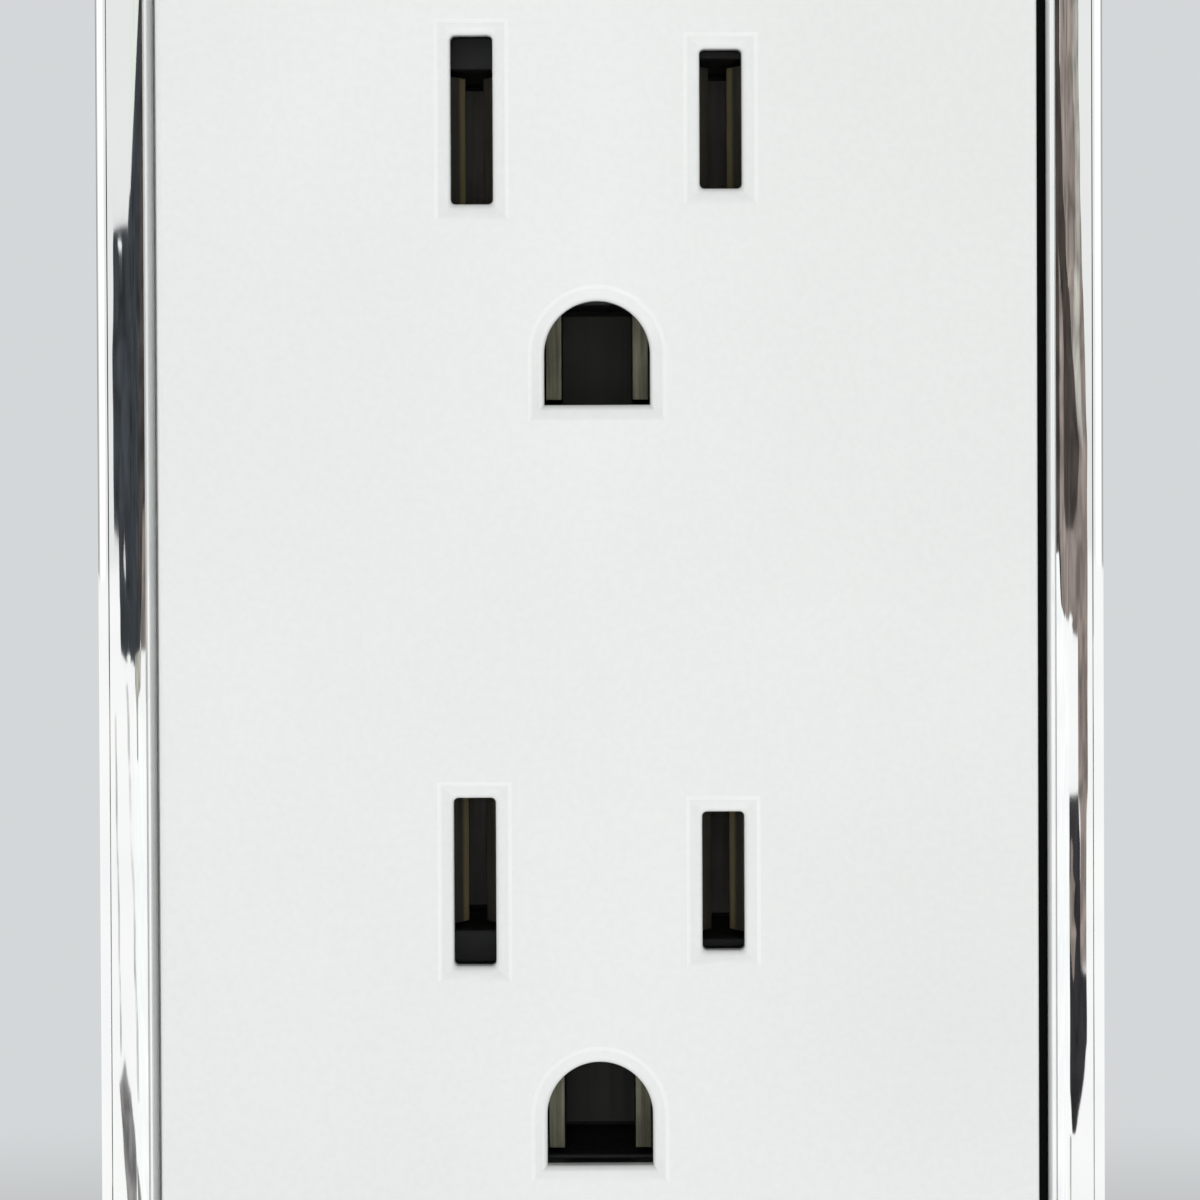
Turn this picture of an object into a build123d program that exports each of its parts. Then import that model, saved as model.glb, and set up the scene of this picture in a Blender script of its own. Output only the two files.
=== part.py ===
from build123d import *
import os

# Double wall socket with a slim trim frame.
# Frame: +Z up, the front faces -Y, and the wall's surface is the plane y = 0.
# A height is measured from the wall towards the room, so a negative height lies inside the wall.

# Outlet pattern (mm)
blade_pitch = 12.7
outlet_pitch = 38.9
pattern_rise = 5.1
earth_drop = 11.95
slot_width = 2.15
neutral_slot_height = 8.6
hot_slot_height = 7.1
slot_corner = 0.25
earth_radius = 2.7
earth_flat = 2.6
lip_radius = 0.35

# White face
face_width = 44.9
face_front = 5.3
face_thickness = 1.6
face_edge = 0.35
rim_width = 0.8
rim_height = 0.1
skirt_wall = 1.2
skirt_clearance = 0.2
skirt_base = 0.4
hook_width = 6.0
hook_spacing = 24.0
hook_thickness = 1.4
hook_standoff = 1.45
hook_catch = 0.6
hook_length = 1.6
hook_clearance = 0.15

# Chrome trim frame
frame_shift = 0.15
opening_clearance = 0.3
rail_width = 2.95
rail_crest = 5.15
band_sagitta = 0.15
shoulder = 0.55
shoulder_drop = 0.1
groove_width = 0.06
groove_depth = 0.08
bead_width = 0.38
bead_drop = 0.5
bead_fullness = 0.3
frame_wall = 1.1
strap_clearance = 0.65
ledge_reach = 0.85
ledge_thickness = 0.8
ledge_corner = 0.25

# Black contact cover
cover_lap = 0.75
cover_inset = 1.5
cover_corner = 2.5
cover_edge = 0.4
aperture_step = 0.15
boss_clearance = 0.2

# Steel yoke
yoke_back = 0.1
yoke_thickness = 1.3
yoke_width = 38.0
yoke_corner = 2.0
yoke_length = 91.0
strap_end_width = 16.0
strap_end_corner = 3.0
window_margin = 2.15
window_corner = 1.5
bridge_height = 10.0
screw_inset = 3.85
ear_width = 6.0
ear_gap = 0.6
ear_neck = 2.6
ear_corner = 1.4
screw_slot_length = 6.6
screw_slot_width = 3.8
earth_tab_width = 8.0
earth_tab_length = 10.0
earth_tab_offset = 13.5
tab_clearance = 0.45

# Rear body
body_width = 33.5
body_height = 66.5
body_depth = 25.0
body_corner = 3.0
body_edge = 1.5
chamber_clearance = 0.3
well_depth = 3.0
well_floor = 16.0
well_margin = 0.5
wire_groove_width = 2.8
wire_groove_depth = 2.4
wire_groove_spacing = 6.8
relief_depth = 4.0
relief_width = 10.0
relief_height = 9.6
relief_pitch = 11.4
core_width = 8.4
core_length = 15.0
core_depth = 2.2
core_offset = 5.4
core_setback = 4.0
core_corner = 1.0
gauge_length = 12.0
gauge_width = 2.6
gauge_depth = 0.6
gauge_inset = 5.0

# Brass contacts
strip = 0.7
clip_depth = 14.0
clip_base = 1.9
clip_shoulder = 1.5
clip_shoulder_depth = 9.0
clip_pinch = 0.45
clip_pinch_depth = 3.2
clip_mouth = 1.35
clip_mouth_depth = 0.4
clip_bend = 0.8
clip_width = 7.0
neutral_clip_shift = 0.95
hot_clip_shift = 0.45
bar_front = 4.5
bar_overhang = 0.4
break_tab_length = 6.0
break_tab_width = 2.6
break_slit = 1.2

# Earth contact
earth_strip = 0.8
earth_strip_width = 4.0
earth_clip_width = 4.6
earth_clip_opening = 3.7
earth_clip_depth = 13.0
earth_clip_mouth_depth = 0.6
earth_foot_length = 6.0
rivet_radius = 1.2
rivet_head_radius = 2.1
rivet_head_height = 0.8

# Terminals
terminal_inset = 6.95
terminal_screw_radius = 1.7
terminal_screw_length = 6.0
terminal_head_radius = 3.8
terminal_head_height = 1.8
terminal_head_edge = 0.5
drive_slot_width = 1.0
drive_slot_depth = 0.8
clamp_length = 9.4
clamp_height = 8.6
clamp_thickness = 1.2
clamp_corner = 1.0
fastener_clearance = 0.05
pocket_clearance = 0.4
earth_screw_length = 2.6
earth_head_radius = 3.6
earth_washer_thickness = 0.7

# Fixing and assembly screws
mounting_screw_radius = 1.75
mounting_neck_radius = 1.4
mounting_head_radius = 3.3
mounting_head_height = 1.3
mounting_screw_depth = 22.0
retainer_width = 7.2
retainer_thickness = 0.8
retainer_corner = 1.0
body_screw_side = 2.85
body_screw_end = 3.45
body_screw_radius = 1.4
body_screw_head_radius = 2.4
body_screw_head_height = 1.8
body_screw_sink = 0.5
body_screw_bite = 1.8

# Worked out from the driving sizes
face_back = face_front - face_thickness
yoke_front = yoke_back + yoke_thickness
opening_width = face_width + 2 * opening_clearance
frame_width = opening_width + 2 * rail_width
frame_height = yoke_length + 2 * (strap_clearance + frame_wall)
opening_height = frame_height - 2 * rail_width
face_height = opening_height - 2 * opening_clearance
opening_corner = ledge_reach + ledge_corner
frame_corner = rail_width + opening_corner
face_corner = opening_corner - opening_clearance
upper_slots = pattern_rise + outlet_pitch / 2
lower_slots = pattern_rise - outlet_pitch / 2
slot_lines = (upper_slots, lower_slots)
earth_heights = tuple(line - earth_drop for line in slot_lines)
pole_x = blade_pitch / 2
window_width = blade_pitch + slot_width + 2 * window_margin
window_end = upper_slots + neutral_slot_height / 2 + window_margin
terminal_heights = (upper_slots - terminal_inset, lower_slots + terminal_inset)
bar_high = terminal_heights[0] + clamp_length / 2 + bar_overhang
bar_low = terminal_heights[1] - clamp_length / 2 - bar_overhang
well_face = body_width / 2 - well_depth
bar_outer = well_face + strip
terminal_depth = (bar_front + clip_depth + strip) / 2
yoke_height = body_height + 2 * (yoke_thickness + tab_clearance)
cover_width = body_width + 2 * cover_lap
cover_height = yoke_height - 2 * cover_inset
hook_inner = body_width / 2 + hook_standoff
hook_heights = (hook_spacing / 2, -hook_spacing / 2)
mounting_height = yoke_length / 2 - screw_inset
NEUTRAL = -1
HOT = 1
slot_heights = {NEUTRAL: neutral_slot_height, HOT: hot_slot_height}
clip_shifts = {NEUTRAL: neutral_clip_shift, HOT: hot_clip_shift}


def slab(sketch, low, high):
    """A solid with this outline, seen from the front, between two heights."""
    return extrude(Plane.XZ.offset(low) * sketch, amount=high - low)


def block(x_range, depth_range, z_range):
    """A box between two values along X, Y and Z."""
    size = [high - low for low, high in (x_range, depth_range, z_range)]
    centre = [(high + low) / 2 for low, high in (x_range, depth_range, z_range)]
    return Pos(*centre) * Box(*size)


def sideways(pole):
    """A plane facing outwards through the side of the body that holds this pole."""
    return Plane(origin=(0, 0, 0), x_dir=(0, 0, 1), z_dir=(pole, 0, 0))


def peg(pole, radius, depth, height, start, end):
    """A cylinder across the body, between two distances from the centre plane."""
    face = sideways(pole).offset(start) * Pos(height, -pole * depth) * Circle(radius)
    return extrude(face, amount=end - start)


def pin(x, z, radius, low, high):
    """A cylinder along Y, between two heights."""
    return slab(Pos(x, z) * Circle(radius), low, high)


def earth_outline(growth):
    """An earth hole, a round arch over a flat foot, grown by this much all round."""
    radius = earth_radius + growth
    flat = earth_flat + growth
    arch = Circle(radius) & Pos(0, radius / 2) * Rectangle(2 * radius, radius)
    outline = arch + Pos(0, -flat / 2) * Rectangle(2 * radius, flat)
    if growth:
        outline = fillet(outline.vertices().group_by(Axis.Y)[0], growth)
    return outline


def apertures(growth):
    """The blade slots and earth holes of both outlets, grown by this much all round."""
    outline = Sketch()
    for line in slot_lines:
        for pole in (NEUTRAL, HOT):
            size = (slot_width + 2 * growth, slot_heights[pole] + 2 * growth)
            outline += Pos(pole * pole_x, line) * RectangleRounded(*size, slot_corner + growth)
        outline += Pos(0, line - earth_drop) * earth_outline(growth)
    return outline


# Chrome trim frame: one section carried round four rails and four corners
def rail_section():
    """The rail's section: x is the distance from the corner's axis and y the height."""
    outer = frame_corner
    inner = outer - rail_width
    band_outer = outer - shoulder - groove_width
    band_inner = inner + bead_width + groove_width
    band_edge = rail_crest - band_sagitta
    shoulder_top = band_edge - shoulder_drop
    with BuildLine() as line:
        Line((outer, 0), (outer, shoulder_top - shoulder))
        RadiusArc((outer, shoulder_top - shoulder), (outer - shoulder, shoulder_top), -shoulder)
        Polyline(
            (outer - shoulder, shoulder_top),
            (outer - shoulder - groove_width / 2, shoulder_top - groove_depth),
            (band_outer, band_edge),
        )
        ThreePointArc(
            (band_outer, band_edge),
            ((band_outer + band_inner) / 2, rail_crest),
            (band_inner, band_edge),
        )
        Line((band_inner, band_edge), (band_inner - groove_width, band_edge - groove_depth))
        ThreePointArc(
            (band_inner - groove_width, band_edge - groove_depth),
            (inner + bead_width * bead_fullness, band_edge - groove_depth - bead_drop * bead_fullness),
            (inner, band_edge - groove_depth - bead_drop),
        )
        Polyline(
            (inner, band_edge - groove_depth - bead_drop),
            (inner, face_back),
            (inner - ledge_reach, face_back),
            (inner - ledge_reach, face_back - ledge_thickness),
            (outer - frame_wall, face_back - ledge_thickness),
            (outer - frame_wall, 0),
            (outer, 0),
        )
    return make_face(line.line)


def make_chrome_frame():
    section = rail_section()
    reach_x = frame_width / 2 - frame_corner
    reach_z = frame_height / 2 - frame_corner
    turns = (((1, 0), (1, 1)), ((0, 1), (-1, 1)), ((-1, 0), (-1, -1)), ((0, -1), (1, -1)))
    frame = Part()
    for (out_x, out_z), (side_x, side_z) in turns:
        origin = (side_x * reach_x, 0, side_z * reach_z)
        plane = Plane(origin=origin, x_dir=(out_x, 0, out_z), z_dir=(out_z, 0, -out_x))
        length = 2 * reach_z if out_x else 2 * reach_x
        frame += extrude(plane * section, amount=length)
        frame += revolve(plane * section, Axis(origin, (0, -1, 0)), 90)
    return Pos(frame_shift, 0, 0) * frame.clean()


# White face with a raised rim round each aperture, a skirt and snap hooks
def make_front_cover():
    plate_front = face_front - rim_height
    plate = slab(RectangleRounded(face_width, face_height, face_corner), face_back, plate_front)
    plate = fillet(plate.faces().sort_by(Axis.Y)[0].edges(), face_edge)
    plate += slab(apertures(rim_width), plate_front, face_front)
    plate -= slab(apertures(0), face_back, face_front)
    rims = plate.faces().group_by(Axis.Y)[0]
    plate = fillet([edge for rim in rims for wire in rim.inner_wires() for edge in wire.edges()], lip_radius)

    inset = ledge_reach - opening_clearance + frame_shift + skirt_clearance
    outer_x = face_width - 2 * inset
    outer_z = face_height - 2 * inset
    ring = RectangleRounded(outer_x, outer_z, ledge_corner)
    ring -= Rectangle(outer_x - 2 * skirt_wall, outer_z - 2 * skirt_wall)
    skirt = slab(ring, skirt_base, face_back)
    strap_room = yoke_width + 2 * skirt_clearance
    skirt -= slab(Rectangle(strap_room, face_height), 0, face_back)
    cover = plate + skirt

    outer = hook_inner + hook_thickness
    catch = hook_inner - hook_catch
    catch_depth = hook_clearance - yoke_back
    for side in (NEUTRAL, HOT):
        profile = Polyline(
            (side * outer, -face_back),
            (side * hook_inner, -face_back),
            (side * hook_inner, catch_depth),
            (side * catch, catch_depth),
            (side * hook_inner, hook_length),
            (side * outer, hook_length),
            close=True,
        )
        hook = extrude(make_face(profile), amount=hook_width / 2, both=True)
        for height in hook_heights:
            cover += Pos(0, 0, height) * hook
    return cover


# Black inner front, clamped over the yoke
def make_contact_cover():
    flange = slab(RectangleRounded(cover_width, cover_height, cover_corner), yoke_front, face_back)
    flange = chamfer(flange.faces().sort_by(Axis.Y)[0].edges(), cover_edge)
    for window in yoke_windows(-boss_clearance):
        flange += slab(window, yoke_back, yoke_front)
    flange -= slab(apertures(aperture_step), yoke_back, face_back)
    rivet_room = rivet_head_height + pocket_clearance
    flange -= pin(0, 0, rivet_head_radius + pocket_clearance, yoke_front, yoke_front + rivet_room)
    for x, z in body_screw_places():
        bite = yoke_front + body_screw_bite + fastener_clearance
        flange -= pin(x, z, body_screw_radius + fastener_clearance, yoke_front, bite)
    return flange


def yoke_windows(growth):
    """The two windows of the yoke, either side of its bridge."""
    height = window_end - bridge_height / 2
    outline = RectangleRounded(window_width + 2 * growth, height + 2 * growth, window_corner + growth)
    return [Pos(0, end * (bridge_height / 2 + height / 2)) * outline for end in (1, -1)]


def body_screw_places():
    """Where the assembly screws stand, seen from the front."""
    x = body_width / 2 - body_screw_side
    z = body_height / 2 - body_screw_end
    return [(side * x, end * z) for side in (1, -1) for end in (1, -1)]


# Pressed steel mounting strap
def make_yoke():
    outline = RectangleRounded(yoke_width, yoke_height, yoke_corner)
    outline += RectangleRounded(strap_end_width, yoke_length, strap_end_corner)
    for window in yoke_windows(0):
        outline -= window
    ear_offset = strap_end_width / 2 + ear_gap + ear_width / 2
    for end in (1, -1):
        outline += Pos(0, end * mounting_height) * Rectangle(2 * ear_offset, ear_neck)
        for side in (NEUTRAL, HOT):
            ear = RectangleRounded(ear_width, 2 * screw_inset, ear_corner)
            outline += Pos(side * ear_offset, end * mounting_height) * ear
        outline -= Pos(0, end * mounting_height) * SlotOverall(screw_slot_length, screw_slot_width)
    notch = Rectangle(yoke_width, hook_width + 2 * hook_clearance)
    notch_middle = hook_inner - hook_clearance + yoke_width / 2
    for side in (NEUTRAL, HOT):
        for height in hook_heights:
            outline -= Pos(side * notch_middle, height) * notch
    outline -= Circle(rivet_radius + fastener_clearance)
    for x, z in body_screw_places():
        outline -= Pos(x, z) * Circle(body_screw_radius + fastener_clearance)
    yoke = slab(outline, yoke_back, yoke_front)

    low = -yoke_height / 2
    tab_x = (-earth_tab_offset - earth_tab_width / 2, -earth_tab_offset + earth_tab_width / 2)
    tab = block(tab_x, (-yoke_front, earth_tab_length), (low, low + yoke_thickness))
    tab = fillet(tab.edges().filter_by(Axis.Z).group_by(Axis.Y)[-1], yoke_corner)
    yoke += tab
    hole = terminal_screw_radius + fastener_clearance
    drill = Pos(-earth_tab_offset, earth_screw_depth(), low) * Cylinder(hole, 3 * yoke_thickness)
    return yoke - drill


def earth_screw_depth():
    """How far behind the wall the earth terminal screw stands."""
    return earth_tab_length - earth_head_radius - earth_washer_thickness


# Moulded housing behind the yoke
def make_rear_body():
    body = slab(RectangleRounded(body_width, body_height, body_corner), -body_depth, yoke_back)
    body = fillet(body.faces().sort_by(Axis.Y)[-1].edges(), body_edge)
    side = body_width / 2
    floor = clip_depth + strip + chamber_clearance
    room = clip_base + strip + chamber_clearance
    half = clip_width / 2 + chamber_clearance
    for pole in (NEUTRAL, HOT):
        chamber = sorted((pole * (pole_x - room), pole * (pole_x + room)))
        for middle in clip_heights(pole):
            body -= block(chamber, (-yoke_back, floor), (middle - half, middle + half))
        passage = sorted((pole * pole_x, pole * side))
        for low, high in neck_spans(pole):
            body -= block(passage, (-yoke_back, floor), (low - chamber_clearance, high + chamber_clearance))
        well = sorted((pole * well_face, pole * side))
        body -= block(well, (-yoke_back, well_floor), (bar_low - well_margin, bar_high + well_margin))
        bore = terminal_screw_radius + pocket_clearance
        for height in terminal_heights:
            tip = bar_outer - terminal_screw_length - pocket_clearance
            body -= peg(pole, bore, terminal_depth, height, tip, well_face)
            for offset in (-wire_groove_spacing / 2, wire_groove_spacing / 2):
                groove = sorted((pole * (side - wire_groove_depth), pole * side))
                middle = height + offset
                across = (middle - wire_groove_width / 2, middle + wire_groove_width / 2)
                body -= block(groove, (well_floor, body_depth), across)
    body -= earth_channel()
    head_room = body_screw_head_radius + pocket_clearance
    for x, z in body_screw_places():
        body -= pin(x, z, body_screw_radius + fastener_clearance, -body_depth, yoke_back)
        body -= pin(x, z, head_room, -body_depth, body_screw_sink + body_screw_head_height - body_depth)
    low = -body_height / 2
    tip = earth_screw_length - yoke_height / 2 + pocket_clearance
    drill = Cylinder(terminal_screw_radius + pocket_clearance, 2 * (tip - low))
    body -= Pos(-earth_tab_offset, earth_screw_depth(), low) * drill
    return body - moulding_pockets()


def moulding_pockets():
    """The cored-out pockets in the back and the two ends of the rear body, and the wire stripping gauge."""
    gauge = Pos(0, gauge_inset - body_height / 2) * RectangleRounded(gauge_length, gauge_width, slot_corner)
    pockets = slab(gauge, -body_depth, gauge_depth - body_depth)
    relief = RectangleRounded(relief_width, relief_height, window_corner)
    for step in (-1, 0, 1):
        pockets += slab(Pos(0, step * relief_pitch) * relief, -body_depth, relief_depth - body_depth)
    core = RectangleRounded(core_width, core_length, core_corner)
    for end in (1, -1):
        face = Plane.XY.offset(end * body_height / 2)
        for side in (NEUTRAL, HOT):
            outline = face * Pos(side * core_offset, core_setback + core_length / 2) * core
            pockets += extrude(outline, amount=-end * core_depth)
    return pockets


def earth_channel():
    """The room that the earth strip and its clips take up in the rear body."""
    floor = earth_clip_depth + earth_strip + chamber_clearance
    half = earth_strip_width / 2 + chamber_clearance
    high, low = earth_heights
    clip_half = earth_clip_width / 2 + chamber_clearance
    channel = block((-half, half), (-yoke_back, floor), (low - clip_half, high + clip_half))
    arm = earth_clip_opening / 2 + earth_strip + chamber_clearance
    for height in earth_heights:
        channel += block((-arm, arm), (-yoke_back, floor), (height - clip_half, height + clip_half))
    return channel


def clip_heights(pole):
    """The middles of a pole's two clips, each set a little towards the middle of the pattern."""
    return upper_slots - clip_shifts[pole], lower_slots + clip_shifts[pole]


def neck_spans(pole):
    """The height ranges over which a pole's clips run on into its side bar."""
    upper, lower = clip_heights(pole)
    return (upper - clip_width / 2, bar_high), (bar_low, lower + clip_width / 2)


# Folded brass strips: a side bar with two sprung clips and a break-off tab
def clip_arm(side):
    """One leaf of a clip in plan, from its base to its flared mouth."""
    centre = FilletPolyline(
        (side * (clip_base + strip / 2), clip_depth + strip / 2),
        (side * (clip_shoulder + strip / 2), clip_shoulder_depth),
        (side * (clip_pinch + strip / 2), clip_pinch_depth),
        (side * (clip_mouth + strip / 2), clip_mouth_depth),
        radius=clip_bend,
    )
    return make_face(offset(centre, strip / 2))


def make_pole_contact(pole):
    back = clip_depth + strip
    bar_x = sorted((pole * well_face, pole * bar_outer))
    contact = block(bar_x, (bar_front, back), (bar_low, bar_high))
    middle = pattern_rise
    for end in (1, -1):
        tab_end = middle + end * break_tab_length / 2
        slit = sorted((tab_end, tab_end - end * break_slit))
        contact -= block(bar_x, (bar_front, back - break_tab_width), slit)
    bore = terminal_screw_radius + fastener_clearance
    for height in terminal_heights:
        contact -= peg(pole, bore, terminal_depth, height, 0, side_reach())
    arms = Pos(pole * pole_x, 0) * (clip_arm(1) + clip_arm(-1))
    reach = clip_base + strip
    base = sorted((pole * (pole_x - reach), pole * (pole_x + reach)))
    half = clip_width / 2
    for middle in clip_heights(pole):
        contact += extrude(Pos(0, 0, middle) * arms, amount=half, both=True)
        contact += block(base, (clip_depth, back), (middle - half, middle + half))
    neck = sorted((pole * pole_x, pole * bar_outer))
    for span in neck_spans(pole):
        contact += block(neck, (clip_depth, back), span)
    return contact


def side_reach():
    """A distance from the centre plane past everything on the body's sides."""
    return body_width / 2 + terminal_head_height


def make_earth_contact():
    back = earth_clip_depth + earth_strip
    high, low = earth_heights
    half = earth_strip_width / 2
    contact = block((-half, half), (earth_clip_depth, back), (low, high))
    inner = earth_clip_opening / 2
    outer = inner + earth_strip
    clip_half = earth_clip_width / 2
    for height in earth_heights:
        span = (height - clip_half, height + clip_half)
        cup = block((-outer, outer), (earth_clip_mouth_depth, back), span)
        cup = fillet(cup.edges().filter_by(Axis.Z).group_by(Axis.Y)[-1], earth_strip)
        cup -= block((-inner, inner), (earth_clip_mouth_depth, earth_clip_depth), span)
        contact += cup
    foot_half = earth_foot_length / 2
    foot = (-yoke_back, earth_strip - yoke_back)
    contact += block((-half, half), (-yoke_back, back), (foot_half - earth_strip, foot_half))
    contact += block((-half, half), foot, (-foot_half, foot_half))
    return contact - pin(0, 0, rivet_radius + fastener_clearance, yoke_back - earth_strip, yoke_back)


def make_earth_rivet():
    foot_back = yoke_back - earth_strip
    shank = pin(0, 0, rivet_radius, foot_back, yoke_front)
    head = pin(0, 0, rivet_head_radius, yoke_front, yoke_front + rivet_head_height)
    tail = pin(0, 0, rivet_head_radius, foot_back - rivet_head_height, foot_back)
    return shank + fillet(head.faces().sort_by(Axis.Y)[0].edges(), rivet_head_height / 2) + tail


# Screw terminals
def make_terminal_screw(pole, height):
    seat = bar_outer + clamp_thickness
    top = seat + terminal_head_height
    head = peg(pole, terminal_head_radius, terminal_depth, height, seat, top)
    crown = head.faces().sort_by(Axis.X)[-1 if pole == HOT else 0]
    head = fillet(crown.edges(), terminal_head_edge)
    slot_x = sorted((pole * (top - drive_slot_depth), pole * top))
    slot_z = (height - terminal_head_radius, height + terminal_head_radius)
    slot_y = (terminal_depth - drive_slot_width / 2, terminal_depth + drive_slot_width / 2)
    head -= block(slot_x, slot_y, slot_z)
    tip = bar_outer - terminal_screw_length
    return head + peg(pole, terminal_screw_radius, terminal_depth, height, tip, seat)


def make_terminal_clamp(pole, height):
    plane = sideways(pole).offset(bar_outer)
    place = Pos(height, -pole * terminal_depth)
    outline = place * RectangleRounded(clamp_length, clamp_height, clamp_corner)
    outline -= place * Circle(terminal_screw_radius + fastener_clearance)
    return extrude(plane * outline, amount=clamp_thickness)


def earth_peg(radius, start, end):
    """A cylinder on the earth screw's axis, between two distances below the tab."""
    length = end - start
    low = -yoke_height / 2 - start
    return Pos(-earth_tab_offset, earth_screw_depth(), low - length / 2) * Cylinder(radius, length)


def make_earth_screw():
    top = earth_washer_thickness + terminal_head_height
    head = earth_peg(earth_head_radius, earth_washer_thickness, top)
    head = fillet(head.faces().sort_by(Axis.Z)[0].edges(), terminal_head_edge)
    low = -yoke_height / 2 - top
    slot_y = (earth_screw_depth() - drive_slot_width / 2, earth_screw_depth() + drive_slot_width / 2)
    slot_x = (-earth_tab_offset - earth_head_radius, -earth_tab_offset + earth_head_radius)
    head -= block(slot_x, slot_y, (low, low + drive_slot_depth))
    return head + earth_peg(terminal_screw_radius, -earth_screw_length, earth_washer_thickness)


def make_earth_clamp():
    washer = earth_peg(earth_head_radius, 0, earth_washer_thickness)
    return washer - earth_peg(terminal_screw_radius + fastener_clearance, 0, earth_washer_thickness)


# Fixing screws, their retainers and the assembly screws
def make_mounting_screw(z):
    top = yoke_front + mounting_head_height
    head = pin(0, z, mounting_head_radius, yoke_front, top)
    head = fillet(head.faces().sort_by(Axis.Y)[0].edges(), mounting_head_height / 2)
    slot_x = (-mounting_head_radius, mounting_head_radius)
    slot_z = (z - drive_slot_width / 2, z + drive_slot_width / 2)
    head -= block(slot_x, (-top, drive_slot_depth - top), slot_z)
    neck_end = yoke_back - retainer_thickness - fastener_clearance
    screw = head + pin(0, z, mounting_neck_radius, neck_end, yoke_front)
    thread = pin(0, z, mounting_screw_radius, -mounting_screw_depth, neck_end)
    return screw + chamfer(thread.faces().sort_by(Axis.Y)[-1].edges(), mounting_screw_radius / 3)


def make_screw_retainer(z):
    outline = RectangleRounded(retainer_width, retainer_width, retainer_corner)
    outline -= Circle(mounting_neck_radius + fastener_clearance)
    return slab(Pos(0, z) * outline, yoke_back - retainer_thickness, yoke_back)


def make_body_screw(x, z):
    seat = body_screw_sink + body_screw_head_height - body_depth
    head = pin(x, z, body_screw_head_radius, seat - body_screw_head_height, seat)
    head = fillet(head.faces().sort_by(Axis.Y)[-1].edges(), body_screw_head_height / 3)
    low = seat - body_screw_head_height
    slot_x = (x - body_screw_head_radius, x + body_screw_head_radius)
    slot_z = (z - drive_slot_width / 2, z + drive_slot_width / 2)
    head -= block(slot_x, (-low - drive_slot_depth, -low), slot_z)
    return head + pin(x, z, body_screw_radius, seat, yoke_front + body_screw_bite)


upper, lower = terminal_heights
fixings = (mounting_height, -mounting_height)
nodes = {
    "chrome_frame": make_chrome_frame(),
    "front_cover": make_front_cover(),
    "contact_cover": make_contact_cover(),
    "yoke": make_yoke(),
    "rear_body": make_rear_body(),
    "neutral_contact": make_pole_contact(NEUTRAL),
    "hot_contact": make_pole_contact(HOT),
    "earth_contact": make_earth_contact(),
    "earth_rivet": make_earth_rivet(),
    "neutral_terminal_screws": Compound([make_terminal_screw(NEUTRAL, z) for z in terminal_heights]),
    "hot_terminal_screws": Compound([make_terminal_screw(HOT, z) for z in terminal_heights]),
    "earth_terminal_screw": make_earth_screw(),
    "neutral_clamp_upper": make_terminal_clamp(NEUTRAL, upper),
    "neutral_clamp_lower": make_terminal_clamp(NEUTRAL, lower),
    "hot_clamp_upper": make_terminal_clamp(HOT, upper),
    "hot_clamp_lower": make_terminal_clamp(HOT, lower),
    "earth_clamp": make_earth_clamp(),
    "mounting_screws": Compound([make_mounting_screw(z) for z in fixings]),
    "screw_retainers": Compound([make_screw_retainer(z) for z in fixings]),
    "body_screws": Compound([make_body_screw(x, z) for x, z in body_screw_places()]),
}

os.makedirs("parts", exist_ok=True)
for name, solid in nodes.items():
    export_step(solid, f"parts/{name}.step")
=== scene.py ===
"""Double wall socket: fine shapes, finishes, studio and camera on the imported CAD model, in metres."""

import logging
import math
from collections.abc import Callable, Iterator
from contextlib import contextmanager
from dataclasses import dataclass
from enum import Enum

import bmesh
import bpy
from mathutils import Matrix, Vector


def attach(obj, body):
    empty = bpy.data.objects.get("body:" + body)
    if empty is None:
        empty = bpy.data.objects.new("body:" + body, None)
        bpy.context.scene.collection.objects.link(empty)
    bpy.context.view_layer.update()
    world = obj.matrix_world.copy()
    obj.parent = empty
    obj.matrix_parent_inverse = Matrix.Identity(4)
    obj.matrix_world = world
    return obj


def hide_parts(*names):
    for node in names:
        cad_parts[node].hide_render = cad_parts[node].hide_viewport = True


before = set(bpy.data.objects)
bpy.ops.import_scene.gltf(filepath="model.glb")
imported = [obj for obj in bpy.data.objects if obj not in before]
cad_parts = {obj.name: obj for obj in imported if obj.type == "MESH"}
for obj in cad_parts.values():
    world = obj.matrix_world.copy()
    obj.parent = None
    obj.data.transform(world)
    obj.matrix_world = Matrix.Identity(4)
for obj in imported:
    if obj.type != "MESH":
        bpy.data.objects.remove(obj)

LOG = logging.getLogger("double_wall_socket")
MM = 0.001
NEAR = 1e-6
FRONT = Vector((0.0, -1.0, 0.0))
# A bevel's profile that gives an arc
ARC_PROFILE = 0.5
# The least that a normal reaches along Y on a face that looks back
LOOKS_BACK = 0.999
# How much large faces lead where normals are evened
FLAT_WEIGHT = 80

Pair = tuple[float, float]
Point = tuple[float, float, float]
Colour = tuple[float, float, float]
Values = dict[str | int, object]


class Pick(Enum):
    """What is selected in edit mode."""

    EDGES = "EDGE"
    FACES = "FACE"


class Joining(Enum):
    """How two solids are put together."""

    CUT = "DIFFERENCE"
    UNITE = "UNION"


class Rail(Enum):
    """An upright rail of the trim frame, by the sign of its X."""

    LEFT = -1
    RIGHT = 1


class Drive(Enum):
    """The recess in a screw's head."""

    SLOT = "slot"
    COMBINATION = "combination"


class Board(Enum):
    """Where cards stand: a plane's axis, its place along it, and the stretch of a band that mirrors it."""

    SIDE = ("y", -0.12, 0.0, 0.66)
    MIDDLE = ("x", 0.0004, 0.66, 1.0)

    def __init__(self, axis: str, place: float, low: float, high: float) -> None:
        """Keeps the plane and the stretch by name.

        Args:
            axis: The axis that the plane stands across.
            place: The plane's place along it, in metres.
            low: Where the stretch starts, from 0 at the band's outer edge.
            high: Where it ends, up to 1 at the band's inner edge.
        """
        self.axis = axis
        self.place = place
        self.low = low
        self.high = high


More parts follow.
